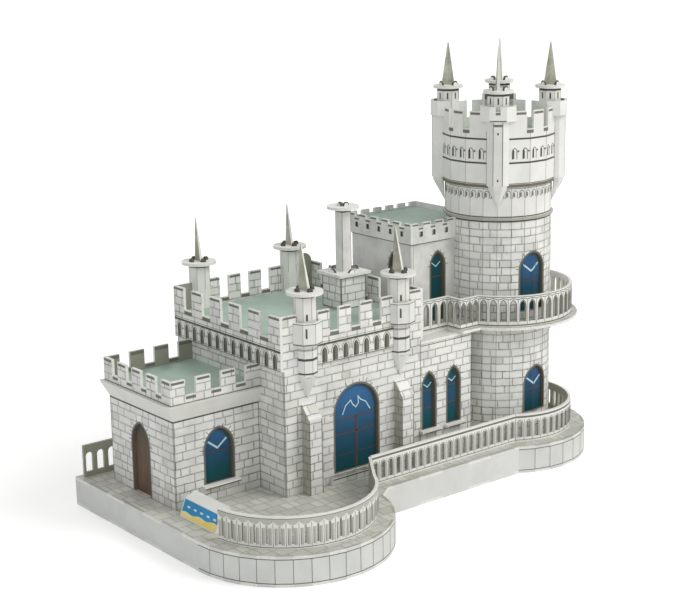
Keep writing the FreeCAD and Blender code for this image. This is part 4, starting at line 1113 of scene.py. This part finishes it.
def print_turrets():
    """String lines, loops and fluted corbels of the main block's turrets."""
    p = family("turret")
    for x in TURRET_X:
        for y, outward in ((CARD / 2, -90), (MAIN[1] - CARD / 2, 90)):
            front = outward < 0
            for wall, half, angle in facets(x, y, TURRET_RADIUS, 8):
                facing = math.cos(math.radians(angle - outward)) > 0.1
                if facing:
                    for level, size in ((61.3, 0.8), (68.2, 1.2), (73.3, 0.2), (73.8, 0.2)):
                        p["dark"].box(wall, -half, level, half, level + size)
                    p["fine"].box(wall, half - 0.14, 60.6, half, 76.0)
                p["dark"].box(wall, -half, 99.5, half, 100.5)
                p["fine"].box(wall, half - 0.16, 88.0, half, 99.5)
                if front and round(angle) == 203:
                    p["dark"].plate(wall, arch(1.0, 91.6, 94.6, 95.5, 0, 4))
                if front and round(angle) == 248:
                    p["dark"].plate(wall, arch(1.0, 88.3, 90.9, 91.7, -0.4, 4))
            for wall, half, angle in facets(x, y, COLLAR_RADIUS, 8):
                if math.cos(math.radians(angle - outward)) > 0.1:
                    if front and round(angle) in (203, 248):
                        p["dark"].box(wall, -half + 1.3, 80.2, -half + 2.2, 85.0)
                    p["fine"].box(wall, -half, 86.9, half, 87.2)
                    p["fine"].box(wall, half - 0.14, 76.6, half, 87.4)
                    p["grey"].box(wall, -half, 76.5, half, 77.1)
            corbel_flutes(p, x, y, outward)
    build_family(p)


def corbel_flutes(p, x, y, outward):
    """Dark flute in the middle of each corbel facet that stands clear of the wall."""
    corners = [(x + TURRET_RADIUS * math.cos(math.radians(a)), y + TURRET_RADIUS * math.sin(math.radians(a)),
                CORBEL_FOOT) for a in range(0, 361, 45)]
    for i, (a, b) in enumerate(zip(corners, corners[1:])):
        if math.cos(math.radians(45 * i + 22.5 - outward)) < 0.5:
            continue
        face = Slope(a, b, (x, y, CORBEL_TIP))
        wide, low = face.half * 0.55, -face.length * 0.72
        p["grey"].plate(face, [(wide, -0.5), (0.1, low), (-0.1, low), (-wide, -0.5)])


def print_tower_turrets():
    """Pilasters, collars and shafts of the tower's turrets."""
    p = family("tower_turret")
    apothem = DRUM_RADIUS * math.cos(math.pi / DRUM_FACETS)
    for angle in (-135, -45, 45, 135):
        a = math.radians(angle)
        out, side = Vector((math.cos(a), math.sin(a), 0)), Vector((-math.sin(a), math.cos(a), 0))
        middle = Vector((*TOWER, 0))
        reach = apothem + PILASTER_DEPTH
        face = Wall(*(middle + out * reach)[:2], angle)
        for u in (-2.35, 2.35):
            p["fine"].box(face, u - 0.12, 139.2, u + 0.12, 172.6)
        p["grey"].box(face, -2.2, 170.2, 2.2, 171.4)
        for level in (141.6, 166.0):
            p["dark"].box(face, -0.45, level, 0.45, level + 1.1)
        for turn in (-1, 1):
            near = middle + out * reach + side * PILASTER_FACE_HALF * turn
            far = middle + out * apothem + side * PILASTER_HALF * turn
            flank = Slope(*((near, far) if turn > 0 else (far, near)), (near + far) / 2 - UP)
            flank.origin.z = FOOT.z
            for u in (-flank.half + 0.35, flank.half - 0.45):
                p["outline"].box(flank, u - 0.3, 139.2, u + 0.3, 172.4)
            p["grey"].box(flank, -flank.half + 0.8, 170.2, flank.half - 0.8, 171.4)
        collar = Wall(*(middle + out * (apothem + 6.55))[:2], angle)
        p["dark"].box(collar, -4.4, 173.0, 4.4, 173.5)
        p["grey"].box(collar, -1.2, 176.4, 1.2, 177.7)
        cx, cy = (middle + out * TOWER_SHAFT_OFFSET)[:2]
        for wall, half, turn in facets(cx, cy, TOWER_SHAFT_RADIUS, 8, angle - 22.5):
            p["dark"].box(wall, -half, 185.6, half, 186.6)
            p["fine"].box(wall, half - 0.14, 180.6, half, 185.6)
            p["dark"].box(wall, -0.4, 181.4, 0.4, 184.6)
    build_family(p)


def print_chimney():
    """Edges and bands of the chimney."""
    p = family("chimney")
    x0, y0, x1, y1 = CHIMNEY
    mx, my = (x0 + x1) / 2, (y0 + y1) / 2
    for wall, length in ((Wall(x0, y0, -90), x1 - x0), (Wall(x1, y0, 0), y1 - y0),
                         (Wall(x1, y1, 90), x1 - x0), (Wall(x0, y1, 180), y1 - y0)):
        for u in (0.3, length - 0.3):
            p["outline"].box(wall, u - 0.2, 77.7, u + 0.2, 95.0)
        p["fine"].box(wall, 0.2, 78.0, length - 0.2, 78.3)
    for angle in (-90, 0, 90, 180):
        a = math.radians(angle)
        wall = Wall(mx + 2.9 * math.cos(a), my + 2.9 * math.sin(a), angle)
        p["dark"].box(wall, -2.9, 128.0, 2.9, 129.2)
        p["outline"].box(wall, 2.7, 97.0, 2.9, 128.0)
    build_family(p)


def print_buttresses():
    """Dark edges of the two buttresses."""
    p = family("buttress")
    for x in TURRET_X:
        wall = Wall(x, -6.0, -90)
        for u in (-3.8, 3.8):
            p["outline"].box(wall, u - 0.18, 0.2, u + 0.18, 38.6)
    build_family(p)


def rail_print(p, runs, height, base, slot, style):
    """Prints on each bay of a railing."""
    top = base + height
    for wall, half in runs:
        spring = top - 4.0 - slot / 2
        if style == "gothic":
            p["outline"].line(wall, arch(slot + 0.5, base + 2.4, spring, spring + slot + 0.5, 0, 5), 0.34)
            hood = [(-half, spring + slot + 0.6), (0, top - 1.2), (half, spring + slot + 0.6)]
            p["outline"].line(wall, hood, 0.3)
            p["fine"].box(wall, half - 0.2, base + 1.0, half, top - 2.0)
            p["grey"].box(wall, -half, base + 0.3, half, base + 0.9)
            p["fine"].box(wall, -half, top - 0.75, half, top - 0.4)
        elif style == "panel":
            p["soft"].plate(wall, scallops(-half, half, top - 3.9, top - 2.2, top - 1.1)[::-1])
            p["grey"].box(wall, -half, top - 1.1, half, top - 0.8)
            for x in (-half * 0.52, half * 0.52):
                p["soft"].box(wall, x - 0.7, base + 2.0, x + 0.7, top - 5.4)
                p["fine"].box(wall, x - 0.75, base + 2.0, x - 0.5, top - 5.4)
            p["fine"].box(wall, half - 0.2, base + 1.2, half, top - 3.0)
            p["fine"].box(wall, -half, base + 0.6, half, base + 0.9)
        else:
            p["grey"].box(wall, -half, top - 2.0, half, top - 1.0)
            p["fine"].line(wall, arch(slot + 0.9, base + 2.4, spring, top - 3.4, 0, 5), 0.3)
            p["fine"].box(wall, half - 0.2, base + 1.0, half, top - 3.0)
            p["fine"].box(wall, -half, base + 0.9, half, base + 1.2)


def scallops(left, right, valley, crest, top):
    """Band with a scalloped lower edge that hangs lowest at the slot and rises at the folds."""
    count = 8
    lower = []
    for i in range(count + 1):
        t = i / count
        u = left + (right - left) * t
        lower.append((u, valley + (crest - valley) * abs(2 * t - 1) ** 2))
    return [(left, top)] + lower + [(right, top)]


def rail_family(tag):
    """The prints that a railing needs."""
    return {
        "outline": Print(tag + "_tracery", "dark ink", "rail_print", 1.4),
        "fine": Print(tag + "_fine_lines", "joint ink", "rail_print", 1.2),
        "grey": Print(tag + "_grey_print", "grey ink", "rail_print", 1.0),
        "soft": Print(tag + "_soft_print", "grey print", "rail_print", 0.9),
    }


def bays(points, bay):
    """Splits each run of a path into equal bays."""
    out = [points[0]]
    for a, b in zip(points, points[1:]):
        count = max(1, round(math.dist(a, b) / bay))
        for i in range(1, count + 1):
            t = i / count
            out.append((a[0] + (b[0] - a[0]) * t, a[1] + (b[1] - a[1]) * t))
    return out


def print_rails():
    """Prints on the railings of the deck and of the balcony."""
    radius, bay = 43.5, 5.8
    curve = arc(-12, -17, radius, 186, 333, round(math.radians(333 - 186) * radius / bay))
    bulge = curve + bays([curve[-1], (42.0, -15.0)], bay)[1:]
    one_railing("bulge_rail", bulge, RAIL_HEIGHT, 0, 1.1, "panel")

    radius, bay, end = 37.5, 4.9, 422
    start = 180.0 - math.degrees(math.asin((-15.0 - 16.0) / radius))
    curve = arc(164.5, 16.0, radius, start, end, round(math.radians(end - start) * radius / bay))
    straight = bays([(42.2, -15.0), (curve[0][0] - 0.2, curve[0][1])], 5.1)
    one_railing("front_rail", straight, RAIL_HEIGHT, 0, 2.5, "post")
    one_railing("round_rail", curve, RAIL_HEIGHT, 0, 2.4, "post")

    radius, bay, end = 39.5, 5.2, 424
    y = -3.2 + 3.0
    start = 180.0 - math.degrees(math.asin((y - 19.0) / radius))
    curve = arc(164.0, 19.0, radius, start, end, round(math.radians(end - start) * radius / bay))
    left = 115.5 + CARD / 2
    straight = [(97.0 + CARD, 9.2 + CARD / 2), (left, 9.2 + CARD / 2), (left, y), curve[0]]
    one_railing("balcony_rail", bays(straight, bay) + curve[1:], BALCONY_RAIL_HEIGHT, BALCONY, 3.0, "gothic")


def one_railing(tag, path, height, base, slot, style):
    """Builds the prints of one railing along its path."""
    p = rail_family(tag)
    rail_print(p, path_walls(path), height, base, slot, style)
    build_family(p)


def print_plinth():
    """Fold lines along the curved ends of the plinth."""
    p = {"fine": Print("plinth_fold_lines", "joint ink", "plinth_print", 1.0)}
    bulge = arc(-12, -17, 51.5, 180.0, 347.7, 18)
    start = 180.0 - math.degrees(math.asin((-21.8 - 16.0) / 45.5))
    rounded = arc(164.5, 16.0, 45.5, start, 422.0, 16)
    for points in (bulge, rounded):
        for wall, half in path_walls(points):
            p["fine"].box(wall, half - 0.28, -13.4, half, -1.5)
            p["fine"].box(wall, -half, -1.9, half, -1.5)
            p["fine"].box(wall, -half, -13.5, half, -13.1)
    build_family(p)


def print_name_plate():
    """Blue and yellow fields and a row of small marks on the sloping face of the plate."""
    face = Wall(-52.5, 0, 180)
    lean = Vector((3.5, 0, 8.5))
    face.rise = lean.normalized()
    face.out = Vector((-face.rise.z, 0, face.rise.x))
    top = lean.length
    blue = Print("plate_upper_field", "blue field", "plate_print", 1.0)
    yellow = Print("plate_lower_field", "yellow field", "plate_print", 1.2)
    trim = Print("plate_trim", "white print", "plate_print", 1.5)
    blue.box(face, -14.4, 0.4, 14.4, top - 0.5)
    rise = [(-14.4 + 28.8 * i / 12, 2.6 + 1.3 * i / 12 + 0.45 * math.sin(i * 1.3)) for i in range(13)]
    yellow.plate(face, [(-14.4, 0.4), (14.4, 0.4)] + rise[::-1])
    for i in range(5):
        x = -11.0 + 5.4 * i
        trim.plate(face, [(x, 5.2), (x + 2.2, 5.2), (x + 2.2, 6.1), (x, 6.1)])
    for piece in (blue, yellow, trim):
        piece.build()


def area_light(name, place_at, target, size, power, colour=(1, 1, 1)):
    """Soft rectangular lamp that points at a target."""
    data = bpy.data.lights.new(name, "AREA")
    data.shape, data.size, data.size_y = "RECTANGLE", size[0], size[1]
    data.energy, data.color = power, colour
    lamp = bpy.data.objects.new(name, data)
    lamp.location = place_at
    lamp.rotation_euler = (Vector(target) - Vector(place_at)).to_track_quat("-Z", "Y").to_euler()
    bpy.context.scene.collection.objects.link(lamp)


def make_stage():
    """Floor, soft light and a pale world."""
    half = 12.0
    mesh = bpy.data.meshes.new("floor")
    corners = [(-half, -half, 0), (half, -half, 0), (half, half, 0), (-half, half, 0)]
    mesh.from_pydata(corners, [], [(0, 1, 2, 3)])
    floor = bpy.data.objects.new("floor", mesh)
    bpy.context.scene.collection.objects.link(floor)
    material, tree = empty_material("floor paper")
    seen = node(tree, "LightPath").outputs["Is Camera Ray"]
    spot = node(tree, "TexCoord").outputs["Object"]
    away = node(tree, "VectorMath", {0: spot}, operation="LENGTH").outputs["Value"]
    strength = calc(tree, "MULTIPLY", seen, ramp(tree, away, 0.10, 0.9, 0.26, 0.60))
    diffuse = node(tree, "BsdfDiffuse", {"Color": (0.90, 0.90, 0.89, 1.0)})
    glow = node(tree, "Emission", {"Color": (1, 1, 1, 1), "Strength": strength})
    both = node(tree, "AddShader", {0: diffuse.outputs[0], 1: glow.outputs[0]})
    node(tree, "OutputMaterial", {"Surface": both.outputs[0]})
    mesh.materials.append(material)

    world = bpy.data.worlds.new("studio")
    world.use_nodes = True
    tree = world.node_tree
    tree.nodes.clear()
    seen = node(tree, "LightPath").outputs["Is Camera Ray"]
    strength = node(tree, "MapRange", {0: seen, 3: 0.52, 4: 1.0}).outputs[0]
    sky = node(tree, "Background", {"Color": (1, 1, 1, 1), "Strength": strength})
    node(tree, "OutputWorld", {"Surface": sky.outputs[0]})
    bpy.context.scene.world = world

    area_light("key", (0.75, -1.0, 1.15), (0.0, 0.0, 0.09), (0.9, 0.9), 15.0, (1.0, 0.985, 0.96))
    area_light("fill", (-1.3, -0.9, 0.8), (0.0, 0.0, 0.08), (1.2, 1.2), 5.0, (0.95, 0.975, 1.0))
    area_light("rim", (0.1, 1.3, 1.3), (0.0, 0.0, 0.1), (1.2, 0.8), 5.0)


def make_camera():
    """Camera at the photograph's angle."""
    azimuth, elevation, roll = math.radians(-38.75), math.radians(13.80), math.radians(-0.89)
    distance, focal, width = 759.75, 1546.9, 687.0
    shift = (-27.99, -97.21)
    back = Vector((math.sin(azimuth) * math.cos(elevation), -math.cos(azimuth) * math.cos(elevation),
                   math.sin(elevation)))
    level = Vector((math.cos(azimuth), math.sin(azimuth), 0))
    upright = back.cross(level)
    right = level * math.cos(roll) + upright * math.sin(roll)
    up = upright * math.cos(roll) - level * math.sin(roll)
    data = bpy.data.cameras.new("camera")
    data.sensor_width = 36.0
    data.lens = focal * data.sensor_width / width
    data.clip_start, data.clip_end = 0.01, 20.0
    camera = bpy.data.objects.new("camera", data)
    camera.location = FOOT + (back * distance - right * shift[0] - up * shift[1]) * MM
    camera.rotation_mode = "QUATERNION"
    camera.rotation_quaternion = Matrix((right, up, back)).transposed().to_quaternion()
    bpy.context.scene.collection.objects.link(camera)
    bpy.context.scene.camera = camera
    bpy.context.scene.view_settings.view_transform = "Standard"


class CASTLE_OT_stage(bpy.types.Operator):
    """Makes the floor, the lights, the world and the camera."""
    bl_idname = "castle.stage"
    bl_label = "Stage"

    def execute(self, context):
        make_stage()
        make_camera()
        return {"FINISHED"}


class CASTLE_OT_finishes(bpy.types.Operator):
    """Builds the card finishes."""
    bl_idname = "castle.finishes"
    bl_label = "Card finishes"

    def execute(self, context):
        make_materials()
        return {"FINISHED"}


class CASTLE_OT_walls(bpy.types.Operator):
    """Dresses the walls of the blocks, the tower and the chimney."""
    bl_idname = "castle.walls"
    bl_label = "Walls"

    def execute(self, context):
        dress_walls()
        return {"FINISHED"}


class CASTLE_OT_sheets(bpy.types.Operator):
    """Dresses roofs, decks, discs, rails and panes."""
    bl_idname = "castle.sheets"
    bl_label = "Sheets"

    def execute(self, context):
        dress_sheets()
        return {"FINISHED"}


class CASTLE_OT_turrets(bpy.types.Operator):
    """Dresses the turrets and prints their lines and corbels."""
    bl_idname = "castle.turrets"
    bl_label = "Turrets"

    def execute(self, context):
        dress_turrets()
        print_turrets()
        print_tower_turrets()
        return {"FINISHED"}


class CASTLE_OT_main_block(bpy.types.Operator):
    """Prints the main block and its buttresses."""
    bl_idname = "castle.main_block"
    bl_label = "Main block prints"

    def execute(self, context):
        print_main_block()
        print_buttresses()
        return {"FINISHED"}


class CASTLE_OT_annex(bpy.types.Operator):
    """Prints the annex."""
    bl_idname = "castle.annex"
    bl_label = "Annex prints"

    def execute(self, context):
        print_annex()
        return {"FINISHED"}


class CASTLE_OT_gallery(bpy.types.Operator):
    """Prints the gallery."""
    bl_idname = "castle.gallery"
    bl_label = "Gallery prints"

    def execute(self, context):
        print_gallery()
        return {"FINISHED"}


class CASTLE_OT_tall_block(bpy.types.Operator):
    """Prints the tall block."""
    bl_idname = "castle.tall_block"
    bl_label = "Tall block prints"

    def execute(self, context):
        print_tall_block()
        return {"FINISHED"}


class CASTLE_OT_tower(bpy.types.Operator):
    """Prints the tower and its drum."""
    bl_idname = "castle.tower"
    bl_label = "Tower prints"

    def execute(self, context):
        print_tower()
        return {"FINISHED"}


class CASTLE_OT_chimney(bpy.types.Operator):
    """Prints the chimney."""
    bl_idname = "castle.chimney"
    bl_label = "Chimney prints"

    def execute(self, context):
        print_chimney()
        return {"FINISHED"}


class CASTLE_OT_rails(bpy.types.Operator):
    """Prints the railings."""
    bl_idname = "castle.rails"
    bl_label = "Rail prints"

    def execute(self, context):
        print_rails()
        return {"FINISHED"}


class CASTLE_OT_plinth(bpy.types.Operator):
    """Prints the plinth's folds and the small plate."""
    bl_idname = "castle.plinth"
    bl_label = "Plinth prints"

    def execute(self, context):
        print_plinth()
        print_name_plate()
        return {"FINISHED"}


class CASTLE_PT_panel(bpy.types.Panel):
    """Lists the steps that dress the castle."""
    bl_label = "Card Castle"
    bl_space_type = "VIEW_3D"
    bl_region_type = "UI"
    bl_category = "Castle"

    def draw(self, context):
        for made in OPERATORS:
            self.layout.operator(made.bl_idname)
        for settings in (context.scene.castle_sizes, context.scene.castle_colours):
            for name in settings.bl_rna.properties.keys():
                if name not in ("rna_type", "name"):
                    self.layout.prop(settings, name)





OPERATORS = [
    CASTLE_OT_stage, CASTLE_OT_finishes, CASTLE_OT_walls, CASTLE_OT_sheets, CASTLE_OT_turrets,
    CASTLE_OT_main_block, CASTLE_OT_annex, CASTLE_OT_gallery, CASTLE_OT_tall_block,
    CASTLE_OT_tower, CASTLE_OT_chimney, CASTLE_OT_rails, CASTLE_OT_plinth,
]
CLASSES = [CastleSizes, CastleColours, *OPERATORS, CASTLE_PT_panel]


def register():
    """Adds the settings, the operators and the panel."""
    for made in CLASSES:
        bpy.utils.register_class(made)
    bpy.types.Scene.castle_sizes = PointerProperty(type=CastleSizes)
    bpy.types.Scene.castle_colours = PointerProperty(type=CastleColours)


def unregister():
    """Takes them away again."""
    del bpy.types.Scene.castle_colours
    del bpy.types.Scene.castle_sizes
    for made in reversed(CLASSES):
        bpy.utils.unregister_class(made)


def main():
    """Dresses the castle step by step."""
    register()
    for made in OPERATORS:
        getattr(bpy.ops.castle, made.bl_idname.split(".")[1])()


if __name__ == "__main__":
    main()
